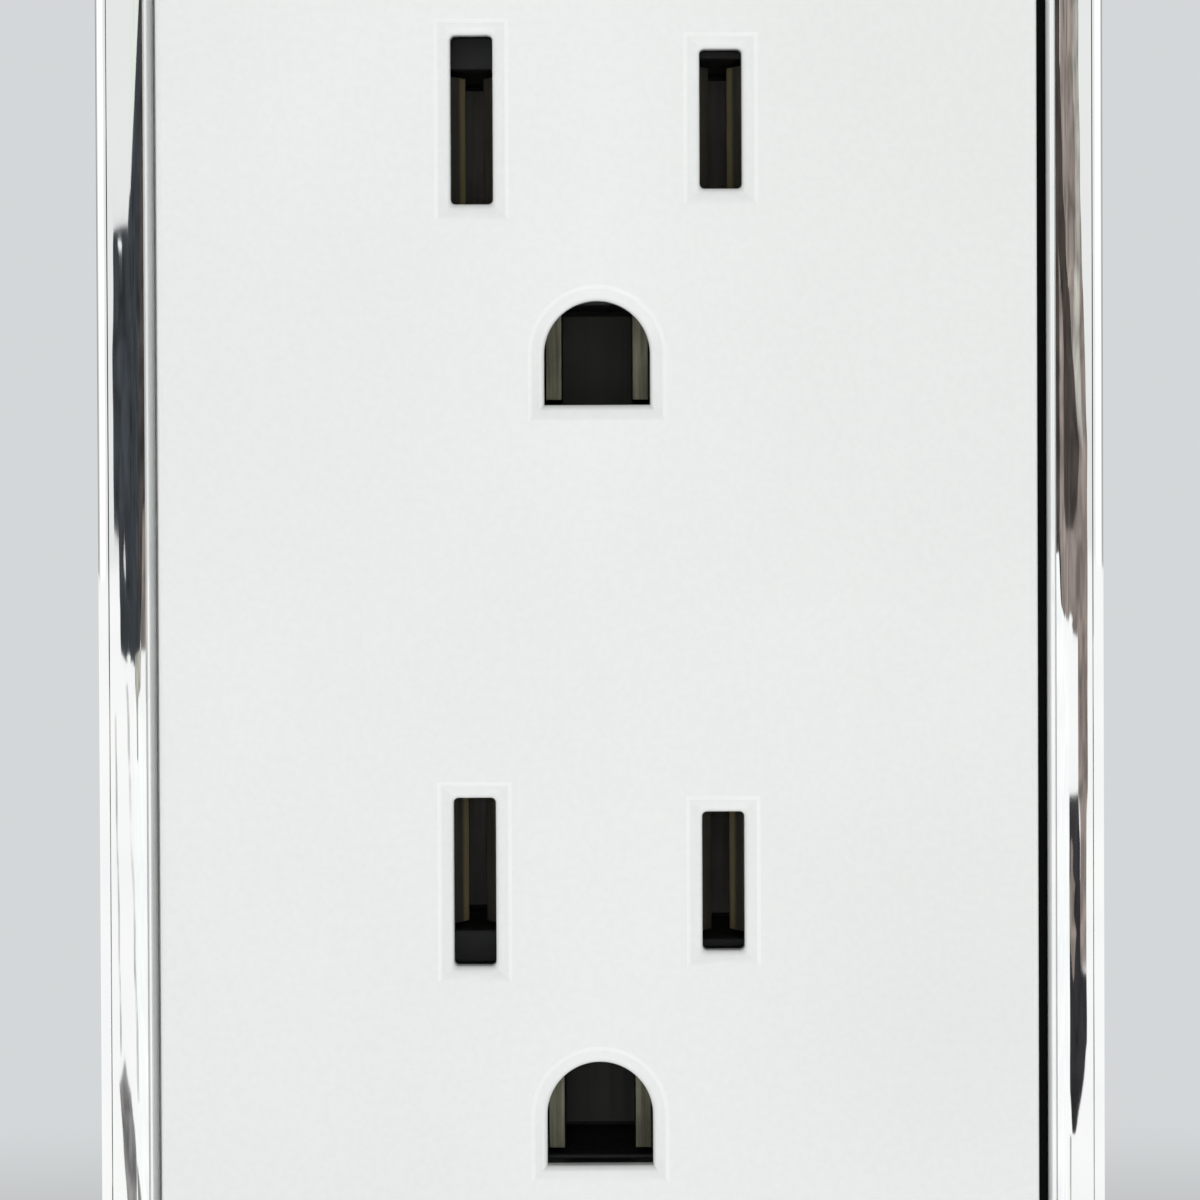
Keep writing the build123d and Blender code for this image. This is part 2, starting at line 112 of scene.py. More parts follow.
def mm(*values: float) -> Vector:
    """A place in metres, given in millimetres."""
    return Vector(values) * MM


def only(obj: bpy.types.Object) -> None:
    """Makes this the one selected object.

    Args:
        obj: The object.
    """
    bpy.ops.object.select_all(action="DESELECT")
    obj.select_set(True)
    bpy.context.view_layer.objects.active = obj


def opaque(colour: Colour) -> tuple[float, float, float, float]:
    """A colour with full opacity."""
    return (*colour, 1.0)


class Workpiece:
    """A mesh that is shaped with the edit mode tools, with sizes in millimetres."""

    def __init__(self, name: str, at: Point, size: Pair = (1.0, 1.0)) -> None:
        """Adds a plane that faces the front.

        Args:
            name: The object's name.
            at: The plane's centre.
            size: Its width and height.
        """
        bpy.ops.object.select_all(action="DESELECT")
        bpy.ops.mesh.primitive_plane_add(size=MM, location=mm(*at), rotation=(math.pi / 2, 0, 0))
        self.obj = bpy.context.object
        self.obj.name = name
        self.obj.scale = (size[0], size[1], 1.0)
        bpy.ops.object.transform_apply(location=True, rotation=True, scale=True)
        self.tip = mm(*at)

    @classmethod
    def pen(cls, name: str, start: Point) -> "Workpiece":
        """Starts a drawn line: a plane merged into one point.

        Args:
            name: The object's name.
            start: The line's first point.

        Returns:
            The line, ready to be drawn on.
        """
        piece = cls(name, start)
        with piece.editing():
            bpy.ops.mesh.select_all(action="SELECT")
            bpy.ops.mesh.merge(type="CENTER")
            bpy.ops.mesh.select_all(action="SELECT")
        return piece

    @contextmanager
    def editing(self) -> Iterator[None]:
        """Opens the mesh in edit mode and closes it again.

        Yields:
            Nothing, while the mesh is open.
        """
        only(self.obj)
        bpy.ops.object.mode_set(mode="EDIT")
        yield
        bpy.ops.object.mode_set(mode="OBJECT")

    def pick(self, kind: Pick, wanted: Callable[..., bool]) -> None:
        """Selects, in edit mode, the edges or faces that pass a test.

        Args:
            kind: Edges or faces.
            wanted: The test.
        """
        bpy.ops.mesh.select_mode(type=kind.value)
        bpy.ops.mesh.select_all(action="DESELECT")
        mesh = bmesh.from_edit_mesh(self.obj.data)
        mesh.normal_update()
        for element in mesh.edges if kind is Pick.EDGES else mesh.faces:
            if wanted(element):
                element.select_set(True)
        mesh.select_flush_mode()
        bmesh.update_edit_mesh(self.obj.data)

    def lines_to(self, *points: Point) -> "Workpiece":
        """Draws straight lines from the pen's last point through these.

        Args:
            *points: The lines' ends, one after another.

        Returns:
            This workpiece.
        """
        with self.editing():
            for point in points:
                target = mm(*point)
                bpy.ops.mesh.extrude_vertices_move(TRANSFORM_OT_translate={"value": target - self.tip})
                self.tip = target
        return self

    def arc_to(self, through: Point, end: Point, steps: int) -> "Workpiece":
        """Draws an arc from the pen's last point, spun round its centre; spin turns clockwise.

        Args:
            through: A point that the arc passes.
            end: The arc's last point.
            steps: Number of straight steps in it.

        Returns:
            This workpiece.
        """
        first = self.tip
        chord = mm(*through) - first
        span = mm(*end) - first
        axis = chord.cross(span)
        offset = axis.cross(chord) * span.length_squared + span.cross(axis) * chord.length_squared
        centre = first + offset / (2 * axis.length_squared)
        axis.normalize()
        start_arm = first - centre
        end_arm = mm(*end) - centre
        angle = math.atan2(axis.dot(start_arm.cross(end_arm)), start_arm.dot(end_arm)) % math.tau
        with self.editing():
            bpy.ops.mesh.spin(steps=steps, angle=-angle, center=centre, axis=axis)
        self.tip = mm(*end)
        return self

    def fill(self) -> "Workpiece":
        """Closes the drawn line and fills it with a face.

        Returns:
            This workpiece.
        """
        with self.editing():
            bpy.ops.mesh.select_all(action="SELECT")
            bpy.ops.mesh.remove_doubles(threshold=NEAR)
            bpy.ops.mesh.edge_face_add()
        return self

    def round_corners(self, radius: float, steps: int) -> "Workpiece":
        """Rounds the corners of a flat outline.

        Args:
            radius: The corners' radius.
            steps: Number of straight steps in each.

        Returns:
            This workpiece.
        """
        with self.editing():
            bpy.ops.mesh.select_all(action="SELECT")
            bpy.ops.mesh.bevel(offset=radius * MM, segments=steps, profile=ARC_PROFILE, affect="VERTICES")
        return self

    def extrude(self, *move: float) -> "Workpiece":
        """Pulls the whole flat outline out into a solid.

        Args:
            *move: How far it is pulled along each axis.

        Returns:
            This workpiece.
        """
        with self.editing():
            bpy.ops.mesh.select_all(action="SELECT")
            bpy.ops.mesh.extrude_region_move(TRANSFORM_OT_translate={"value": mm(*move)})
            bpy.ops.mesh.select_all(action="SELECT")
            bpy.ops.mesh.normals_make_consistent(inside=False)
        return self

    def lathe(self, steps: int) -> "Workpiece":
        """Spins a half profile, drawn beside the Y axis, into a solid.

        Args:
            steps: Number of flat sides.

        Returns:
            This workpiece.
        """
        with self.editing():
            bpy.ops.mesh.select_all(action="SELECT")
            bpy.ops.mesh.spin(steps=steps, angle=math.tau, center=(0, 0, 0), axis=(0, 1, 0))
        return self.close()

    def taper(self, inset: float, slope: float) -> "Workpiece":
        """Draws the flat back of a solid out into a shallow taper.

        Args:
            inset: How far the sides lean inwards.
            slope: The depth for each unit of that.

        Returns:
            This workpiece.
        """
        with self.editing():
            self.pick(Pick.FACES, lambda face: face.normal.y > LOOKS_BACK)
            bpy.ops.mesh.inset(thickness=inset * MM, depth=inset * slope * MM)
        return self.close()

    def close(self) -> "Workpiece":
        """Merges points that meet and turns all faces outwards.

        Returns:
            This workpiece.
        """
        with self.editing():
            bpy.ops.mesh.select_all(action="SELECT")
            bpy.ops.mesh.remove_doubles(threshold=NEAR)
            bpy.ops.mesh.select_all(action="SELECT")
            bpy.ops.mesh.normals_make_consistent(inside=False)
        return self

    def split(self, *lines: float) -> "Workpiece":
        """Cuts the mesh's faces along upright planes at these places across it.

        Args:
            *lines: The planes' places.

        Returns:
            This workpiece.
        """
        with self.editing():
            for line in lines:
                bpy.ops.mesh.select_all(action="SELECT")
                bpy.ops.mesh.bisect(plane_co=mm(line, 0, 0), plane_no=(1, 0, 0))
        return self

    def round_edges(self, wanted: Callable[..., bool], radius: float, steps: int) -> "Workpiece":
        """Rounds the edges that pass a test.

        Args:
            wanted: The test.
            radius: The rounding's radius.
            steps: Number of straight steps in it.

        Returns:
            This workpiece.
        """
        with self.editing():
            self.pick(Pick.EDGES, wanted)
            bpy.ops.mesh.bevel(
                offset=radius * MM, segments=steps, profile=ARC_PROFILE, affect="EDGES", clamp_overlap=False
            )
        return self

    def combine(self, other: "Workpiece", how: Joining) -> "Workpiece":
        """Cuts with another solid, or unites with it, and uses it up.

        Args:
            other: The other solid.
            how: Whether to cut or to unite.

        Returns:
            This workpiece.
        """
        only(self.obj)
        change = self.obj.modifiers.new(how.name, "BOOLEAN")
        change.operation = how.value
        change.solver = "EXACT"
        change.object = other.obj
        bpy.ops.object.modifier_apply(modifier=change.name)
        bpy.data.objects.remove(other.obj)
        return self

    def join(self, *others: "Workpiece") -> "Workpiece":
        """Takes other meshes into this one.

        Args:
            *others: The other meshes, which are used up.

        Returns:
            This workpiece.
        """
        only(self.obj)
        for other in others:
            other.obj.select_set(True)
        bpy.ops.object.join()
        return self

    def copy(self, name: str, matrix: Matrix) -> "Workpiece":
        """A copy with its own mesh, moved by a matrix in metres.

        Args:
            name: The copy's name.
            matrix: Where the copy goes.

        Returns:
            The copy.
        """
        twin = Workpiece.__new__(Workpiece)
        twin.obj = self.obj.copy()
        twin.obj.data = self.obj.data.copy()
        twin.obj.name = name
        twin.obj.data.transform(matrix)
        bpy.context.collection.objects.link(twin.obj)
        twin.tip = self.tip
        return twin

    def smooth(self, angle: float = 32.0) -> "Workpiece":
        """Shades smoothly, with flat faces kept flat up to their rounded edges.

        Args:
            angle: The sharpest turn between faces that is smoothed, in degrees.

        Returns:
            This workpiece.
        """
        only(self.obj)
        bpy.ops.object.shade_smooth_by_angle(angle=math.radians(angle))
        even = self.obj.modifiers.new("even_normals", "WEIGHTED_NORMAL")
        even.keep_sharp = True
        even.weight = FLAT_WEIGHT
        bpy.ops.object.modifier_apply(modifier=even.name)
        return self


class Socket(Enum):
    """The kinds of sockets that the node groups have."""

    VALUE = "NodeSocketFloat"
    VECTOR = "NodeSocketVector"
    COLOUR = "NodeSocketColor"


class NodeSketch:
    """Adds and links the nodes of one tree."""

    COLUMN = 220
    ROW = 200

    def __init__(self, tree: bpy.types.NodeTree) -> None:
        """Keeps the tree."""
        self.tree = tree

    def add(self, kind: str, x: float, y: float, values: Values | None = None,
            **settings: object) -> bpy.types.Node:
        """Adds a node.

        Args:
            kind: The node's type, without its ShaderNode prefix.
            x: Its column in the editor.
            y: Its row in the editor.
            values: What its inputs hold where nothing is linked to them.
            **settings: Properties set on the node.

        Returns:
            The new node.
        """
        node = self.tree.nodes.new(f"ShaderNode{kind}")
        node.location = (x * self.COLUMN, y * self.ROW)
        for name, value in settings.items():
            setattr(node, name, value)
        for socket, value in (values or {}).items():
            node.inputs[socket].default_value = value
        return node

    def ramp(self, x: float, y: float, span: Pair = (0.0, 1.0), levels: Pair = (0.0, 1.0)) -> bpy.types.Node:
        """Adds a node that passes smoothly from one level to another over a span of its input.

        Args:
            x: Its column in the editor.
            y: Its row in the editor.
            span: Where the change starts and ends.
            levels: What it gives before the start and after the end.

        Returns:
            The new node.
        """
        values = {"From Min": span[0], "From Max": span[1], "To Min": levels[0], "To Max": levels[1]}
        return self.add("MapRange", x, y, values, interpolation_type="SMOOTHSTEP")

    def link(self, source: bpy.types.NodeSocket, *targets: bpy.types.NodeSocket) -> None:
        """Links one output to some inputs."""
        for target in targets:
            self.tree.links.new(source, target)


class SharedGroup:
    """A node group that several materials use, built the first time it is asked for."""

    NAME = ""
    INPUTS: tuple[tuple[str, Socket], ...] = ()
    OUTPUTS: tuple[tuple[str, Socket], ...] = ()
    END_COLUMN = 5

    @classmethod
    def tree(cls) -> bpy.types.NodeTree:
        """The group's tree."""
        return bpy.data.node_groups.get(cls.NAME) or cls._build()

    @classmethod
    def _build(cls) -> bpy.types.NodeTree:
        """Makes the tree with its named sockets and has it wired.

        Returns:
            The new tree.
        """
        tree = bpy.data.node_groups.new(cls.NAME, "ShaderNodeTree")
        for way, sockets in (("INPUT", cls.INPUTS), ("OUTPUT", cls.OUTPUTS)):
            for name, kind in sockets:
                tree.interface.new_socket(name=name, in_out=way, socket_type=kind.value)
        source = tree.nodes.new("NodeGroupInput")
        result = tree.nodes.new("NodeGroupOutput")
        result.location = (cls.END_COLUMN * NodeSketch.COLUMN, 0)
        cls._wire(NodeSketch(tree), source, result)
        return tree

    @classmethod
    def _wire(cls, sketch: NodeSketch, source: bpy.types.Node, result: bpy.types.Node) -> None:
        """Adds what lies between inputs and outputs, in each group's own way."""
        raise NotImplementedError(cls.NAME)


class SurfaceGroup(SharedGroup):
    """Gives the colour, roughness and height of a kind of surface."""

    NAME = "worked_surface"
    INPUTS = (
        ("Vector", Socket.VECTOR),
        ("Colour", Socket.COLOUR),
        ("Second Colour", Socket.COLOUR),
        ("Low Roughness", Socket.VALUE),
        ("High Roughness", Socket.VALUE),
        ("Patch Scale", Socket.VALUE),
        ("Grain Scale", Socket.VALUE),
        ("Grain Stretch", Socket.VECTOR),
        ("Grain Detail", Socket.VALUE),
    )
    OUTPUTS = (("Colour", Socket.COLOUR), ("Roughness", Socket.VALUE), ("Height", Socket.VALUE))
    PATCH_DETAIL = 3.0
    PATCH_SPAN = (0.38, 0.64)
    PATCH_SHARE = 0.5
    GRAIN_ROUGHNESS = 0.6
    GRAIN_SPAN = (0.34, 0.66)
    GRAIN_SHARE = 0.5

    @classmethod
    def _wire(cls, sketch: NodeSketch, source: bpy.types.Node, result: bpy.types.Node) -> None:
        """Wires broad patches for colour and gloss, and stretched grain for relief.

        Args:
            sketch: The group's tree.
            source: The node with the group's inputs.
            result: The node with its outputs.
        """
        patches = sketch.add("TexNoise", 1, 1, {"Detail": cls.PATCH_DETAIL})
        patch_mask = sketch.ramp(2, 1, cls.PATCH_SPAN)
        patch_part = sketch.add("Math", 3, 1, {1: cls.PATCH_SHARE}, operation="MULTIPLY")
        stretch = sketch.add("VectorMath", 1, -1, operation="MULTIPLY")
        grain = sketch.add("TexNoise", 2, -1, {"Roughness": cls.GRAIN_ROUGHNESS})
        grain_mask = sketch.ramp(3, -1, cls.GRAIN_SPAN)
        blend = sketch.add("Math", 3, 0, {1: cls.GRAIN_SHARE}, operation="MULTIPLY_ADD")
        colour = sketch.add("Mix", 4, 1, data_type="RGBA")
        rough = sketch.add("MapRange", 4, -1)
        sketch.link(source.outputs["Vector"], patches.inputs["Vector"], stretch.inputs[0])
        sketch.link(source.outputs["Patch Scale"], patches.inputs["Scale"])
        sketch.link(source.outputs["Grain Stretch"], stretch.inputs[1])
        sketch.link(stretch.outputs[0], grain.inputs["Vector"])
        sketch.link(source.outputs["Grain Scale"], grain.inputs["Scale"])
        sketch.link(source.outputs["Grain Detail"], grain.inputs["Detail"])
        sketch.link(patches.outputs["Fac"], patch_mask.inputs["Value"])
        sketch.link(patch_mask.outputs["Result"], patch_part.inputs[0])
        sketch.link(grain.outputs["Fac"], grain_mask.inputs["Value"], result.inputs["Height"])
        sketch.link(grain_mask.outputs["Result"], blend.inputs[0])
        sketch.link(patch_part.outputs[0], blend.inputs[2])
        sketch.link(blend.outputs[0], colour.inputs["Factor"], rough.inputs["Value"])
        sketch.link(source.outputs["Colour"], colour.inputs["A"])
        sketch.link(source.outputs["Second Colour"], colour.inputs["B"])
        sketch.link(source.outputs["Low Roughness"], rough.inputs["To Min"])
        sketch.link(source.outputs["High Roughness"], rough.inputs["To Max"])
        sketch.link(colour.outputs["Result"], result.inputs["Colour"])
        sketch.link(rough.outputs["Result"], result.inputs["Roughness"])


class SpeckGroup(SharedGroup):
    """Scatters a few specks over a surface."""

    NAME = "scattered_specks"
    INPUTS = (
        ("Vector", Socket.VECTOR),
        ("Scale", Socket.VALUE),
        ("Share", Socket.VALUE),
        ("Spread", Socket.VALUE),
    )
    OUTPUTS = (("Mask", Socket.VALUE),)

    @classmethod
    def _wire(cls, sketch: NodeSketch, source: bpy.types.Node, result: bpy.types.Node) -> None:
        """Keeps a small spot in some of the cells of a scattered pattern.

        Args:
            sketch: The group's tree.
            source: The node with the group's inputs.
            result: The node with its outputs.
        """
        cells = sketch.add("TexVoronoi", 1, 0)
        spot = sketch.ramp(2, 1, levels=(1.0, 0.0))
        parts = sketch.add("SeparateColor", 2, -1)
        chosen = sketch.add("Math", 3, -1, operation="LESS_THAN")
        mask = sketch.add("Math", 3, 0, operation="MULTIPLY")
        sketch.link(source.outputs["Vector"], cells.inputs["Vector"])
        sketch.link(source.outputs["Scale"], cells.inputs["Scale"])
        sketch.link(cells.outputs["Distance"], spot.inputs["Value"])
        sketch.link(source.outputs["Spread"], spot.inputs["From Max"])
        sketch.link(cells.outputs["Color"], parts.inputs["Color"])
        sketch.link(parts.outputs["Red"], chosen.inputs[0])
        sketch.link(source.outputs["Share"], chosen.inputs[1])
        sketch.link(spot.outputs["Result"], mask.inputs[0])
        sketch.link(chosen.outputs[0], mask.inputs[1])
        sketch.link(mask.outputs[0], result.inputs["Mask"])


class DepthGroup(SharedGroup):
    """Tells how far a spot lies inside a range of depth, away from the middle."""

    NAME = "depth_range"
    INPUTS = (
        ("Vector", Socket.VECTOR),
        ("Start", Socket.VALUE),
        ("Full", Socket.VALUE),
        ("End", Socket.VALUE),
        ("Middle", Socket.VALUE),
    )
    OUTPUTS = (("Mask", Socket.VALUE),)

    @classmethod
    def _wire(cls, sketch: NodeSketch, source: bpy.types.Node, result: bpy.types.Node) -> None:
        """Grows the mask with depth and ends it, on what lies further out than the middle.

        Args:
            sketch: The group's tree.
            source: The node with the group's inputs.
            result: The node with its outputs.
        """
        parts = sketch.add("SeparateXYZ", 1, 0)
        depth = sketch.ramp(2, 1)
        ended = sketch.add("Math", 2, 0, operation="LESS_THAN")
        aside = sketch.add("Math", 2, -1, operation="ABSOLUTE")
        outer = sketch.add("Math", 3, -1, operation="GREATER_THAN")
        within = sketch.add("Math", 3, 0, operation="MULTIPLY")
        mask = sketch.add("Math", 4, 0, operation="MULTIPLY")
        sketch.link(source.outputs["Vector"], parts.inputs[0])
        sketch.link(parts.outputs["Y"], depth.inputs["Value"], ended.inputs[0])
        sketch.link(source.outputs["Start"], depth.inputs["From Min"])
        sketch.link(source.outputs["Full"], depth.inputs["From Max"])
        sketch.link(source.outputs["End"], ended.inputs[1])
        sketch.link(parts.outputs["X"], aside.inputs[0])
        sketch.link(aside.outputs[0], outer.inputs[0])
        sketch.link(source.outputs["Middle"], outer.inputs[1])
        sketch.link(depth.outputs["Result"], within.inputs[0])
        sketch.link(ended.outputs[0], within.inputs[1])
        sketch.link(within.outputs[0], mask.inputs[0])
        sketch.link(outer.outputs[0], mask.inputs[1])
        sketch.link(mask.outputs[0], result.inputs["Mask"])


@dataclass(frozen=True)
class Zone:
    """A part of a surface with another tone, in a range of depth further out than a middle distance: painted
    shade or a painted highlight in the slots, or the contacts' own brass colour.
    """

    start: float
    full: float
    end: float
    middle: float
    colour: Colour
    metallic: float | None = None

    def mask(self, sketch: NodeSketch, place: bpy.types.Node) -> bpy.types.NodeSocket:
        """Adds the mask that tells where the zone lies.

        Args:
            sketch: The material's tree.
            place: Its node with the coordinates.

        Returns:
            The mask's output.
        """
        depths = {"Start": self.start, "Full": self.full, "End": self.end, "Middle": self.middle}
        values = {name: depth * MM for name, depth in depths.items()}
        group = sketch.add("Group", -3, 3, values, node_tree=DepthGroup.tree())
        sketch.link(place.outputs["Object"], group.inputs["Vector"])
        return group.outputs["Mask"]


@dataclass(frozen=True)
class Finish:
    """A procedural surface: patches, grain, rounded edges and, where wanted, specks or zones."""

    slot: str
    colour: Colour
    second: Colour
    roughness: Pair
    metallic: float = 0.0
    specular: float = 0.5
    patch_scale: float = 60.0
    grain_scale: float = 1500.0
    stretch: Point = (1.0, 1.0, 1.0)
    relief: float = 0.01
    edge: float = 0.12
    edge_samples: int = 6
    grain_detail: float = 4.0
    specks: float = 0.0
    speck_scale: float = 160.0
    speck_spread: float = 0.035
    speck_colour: Colour = (0.3, 0.28, 0.25)
    zones: tuple[Zone, ...] = ()
    kind: str = "finish"

    @property
    def name(self) -> str:
        """The material's name."""
        return f"{self.slot}_{self.kind}"

    def material(self) -> bpy.types.Material:
        """The finish's material, built the first time it is asked for."""
        return bpy.data.materials.get(self.name) or self._build()

    def _build(self) -> bpy.types.Material:
        """Wires the surface group to a Principled shader.

        Returns:
            The new material.
        """
        material = bpy.data.materials.new(self.name)
        material.use_nodes = True
        sketch = NodeSketch(material.node_tree)
        shader = material.node_tree.nodes["Principled BSDF"]
        shader.inputs["Metallic"].default_value = self.metallic
        shader.inputs["Specular IOR Level"].default_value = self.specular
        place = sketch.add("TexCoord", -4, 0)
        values = {
            "Colour": opaque(self.colour),
            "Second Colour": opaque(self.second),
            "Low Roughness": self.roughness[0],
            "High Roughness": self.roughness[1],
            "Patch Scale": self.patch_scale,
            "Grain Scale": self.grain_scale,
            "Grain Stretch": self.stretch,
            "Grain Detail": self.grain_detail,
        }
        surface = sketch.add("Group", -3, 0, values, node_tree=SurfaceGroup.tree())
        relief = sketch.add("Bump", -1, -1, {"Strength": 1.0, "Distance": self.relief * MM})
        sketch.link(place.outputs["Object"], surface.inputs["Vector"])
        sketch.link(surface.outputs["Roughness"], shader.inputs["Roughness"])
        sketch.link(surface.outputs["Height"], relief.inputs["Height"])
        sketch.link(relief.outputs["Normal"], shader.inputs["Normal"])
        if self.edge:
            rounding = sketch.add("Bevel", -2, -2, {"Radius": self.edge * MM}, samples=self.edge_samples)
            sketch.link(rounding.outputs["Normal"], relief.inputs["Normal"])
        colour = surface.outputs["Colour"]
        if self.specks:
            colour = self._blend(sketch, self._speck_mask(sketch, place), colour, self.speck_colour)
        for zone in self.zones:
            mask = zone.mask(sketch, place)
            colour = self._blend(sketch, mask, colour, zone.colour)
            if zone.metallic is not None:
                metal = sketch.add("Mix", -1, 2, {"A": self.metallic, "B": zone.metallic})
                sketch.link(mask, metal.inputs["Factor"])
                sketch.link(metal.outputs["Result"], shader.inputs["Metallic"])
        sketch.link(colour, shader.inputs["Base Color"])
        return material

    def _blend(self, sketch: NodeSketch, mask: bpy.types.NodeSocket, under: bpy.types.NodeSocket,
               colour: Colour) -> bpy.types.NodeSocket:
        """Lays a colour over another where a mask is full.

        Args:
            sketch: The material's tree.
            mask: The mask's output.
            under: The output with the colour below.
            colour: The colour on top.

        Returns:
            The output with both.
        """
        over = sketch.add("Mix", -1, 1, data_type="RGBA")
        over.inputs["B"].default_value = opaque(colour)
        sketch.link(mask, over.inputs["Factor"])
        sketch.link(under, over.inputs["A"])
        return over.outputs["Result"]

    def _speck_mask(self, sketch: NodeSketch, place: bpy.types.Node) -> bpy.types.NodeSocket:
        """Adds the mask that tells where the specks lie.

        Args:
            sketch: The material's tree.
            place: Its node with the coordinates.

        Returns:
            The mask's output.
        """
        values = {"Scale": self.speck_scale, "Share": self.specks, "Spread": self.speck_spread}
        group = sketch.add("Group", -3, 2, values, node_tree=SpeckGroup.tree())
        sketch.link(place.outputs["Object"], group.inputs["Vector"])
        return group.outputs["Mask"]

    def dress(self, obj: bpy.types.Object) -> None:
        """Gives an object this finish alone.

        Args:
            obj: The object.
        """
        obj.data.materials.clear()
        obj.data.materials.append(self.material())

    def dress_nodes(self, *nodes: str) -> None:
        """Gives CAD nodes, which keep their shape, this finish.

        Args:
            *nodes: The nodes' names.
        """
        for node in nodes:
            self.dress(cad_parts[node])
            LOG.info("%s keeps its CAD shape, in %s", node, self.slot)

    def adopt(self, piece: Workpiece, *nodes: str) -> None:
        """Makes a finished piece stand for CAD nodes, in this finish.

        Args:
            piece: The piece.
            *nodes: The names of the nodes that it replaces.
        """
        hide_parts(*nodes)
        self.dress(piece.obj)
        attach(piece.obj, "root")
        LOG.info("%s: %d faces, for %s", piece.obj.name, len(piece.obj.data.polygons), ", ".join(nodes))


@dataclass(frozen=True)
class Finishes:
    """All finishes of the socket."""

    chrome: Finish = Finish(
        "chrome_plate", (0.9, 0.91, 0.9), (0.86, 0.87, 0.87), (0.02, 0.05), metallic=1.0,
        patch_scale=90.0, grain_scale=260.0, grain_detail=0.0, relief=0.03, edge=0.0,
    )
    white: Finish = Finish(
        "white_face", (0.81, 0.825, 0.815), (0.775, 0.79, 0.78), (0.16, 0.24),
        patch_scale=40.0, grain_scale=2600.0, relief=0.0008, edge=0.0, specks=0.01,
    )
    # A lighter white, painted on the lead-ins' outer edges as a highlight.
    bright_edge: Finish = Finish(
        "white_face", (0.86, 0.875, 0.865), (0.83, 0.845, 0.835), (0.16, 0.24),
        grain_scale=2600.0, relief=0.0008, edge=0.0, kind="edge_finish",
    )
    black: Finish = Finish(
        "black_inner", (0.011, 0.012, 0.014), (0.017, 0.017, 0.018), (0.4, 0.55), specular=0.28,
        grain_scale=2500.0,
    )
    # Near-black painted shade for the rebate's gap on the right of the frame.
    painted_gap_shade: Finish = Finish(
        "black_inner", (0.004, 0.004, 0.005), (0.007, 0.007, 0.008), (0.5, 0.65), specular=0.15, edge=0.0,
        kind="gap_shade_finish",
    )
    housing: Finish = Finish(
        "dark_body", (0.026, 0.027, 0.03), (0.036, 0.036, 0.039), (0.38, 0.56), grain_scale=2200.0,
        relief=0.02, edge=0.25,
    )
    zinc: Finish = Finish(
        "zinc_steel", (0.6, 0.61, 0.62), (0.47, 0.48, 0.5), (0.28, 0.5), metallic=1.0,
        patch_scale=220.0, grain_scale=900.0, stretch=(1.0, 1.0, 0.15), relief=0.012, edge=0.15,
    )
    # The earth contact and rivet: darker from 1 to 2 mm behind the wall's plane onwards, painted shade deep
    # in the earth hole.
    contact: Finish = Finish(
        "contact_brass", (0.38, 0.37, 0.26), (0.13, 0.125, 0.09), (0.4, 0.6), metallic=0.3,
        patch_scale=180.0, grain_scale=4500.0, stretch=(1.0, 0.4, 0.03), relief=0.008, edge=0.08,
        zones=(Zone(1.0, 2.0, 30.0, -1.0, (0.1, 0.105, 0.095)),),
    )
    # The pole contacts: a dark base tone, painted shade where the arms lie in the slots.
    pole: Finish = Finish(
        "contact_brass", (0.3, 0.285, 0.25), (0.2, 0.185, 0.16), (0.4, 0.6), metallic=0.2,
        patch_scale=180.0, grain_scale=3500.0, stretch=(1.0, 0.4, 0.03), relief=0.008, edge=0.08,
        zones=(
            # A painted highlight: a lighter streak along the outer arms at their pinch.
            Zone(1.9, 2.6, 3.6, 6.35, (0.95, 0.82, 0.45)),
            # The brass's own colour and metal, outside the slots.
            Zone(-9.0, -8.0, 30.0, 9.5, (0.76, 0.58, 0.3), metallic=1.0),
        ),
        kind="pole_finish",
    )
    brass: Finish = Finish(
        "brass_screw", (0.76, 0.55, 0.24), (0.66, 0.46, 0.19), (0.16, 0.3), metallic=1.0, relief=0.006,
    )
    nickel: Finish = Finish(
        "nickel_screw", (0.68, 0.66, 0.61), (0.58, 0.56, 0.52), (0.16, 0.3), metallic=1.0, relief=0.006,
    )
    green: Finish = Finish(
        "green_screw", (0.03, 0.23, 0.08), (0.02, 0.16, 0.055), (0.25, 0.4), metallic=0.5, relief=0.006,
    )
    bright_zinc: Finish = Finish(
        "zinc_screw", (0.64, 0.65, 0.67), (0.54, 0.55, 0.58), (0.2, 0.36), metallic=1.0, relief=0.008,
    )
    fibre: Finish = Finish(
        "fibre_washer", (0.3, 0.13, 0.07), (0.2, 0.08, 0.045), (0.75, 0.95), patch_scale=400.0,
        grain_scale=1800.0, stretch=(1.0, 1.0, 0.3), relief=0.03,
    )


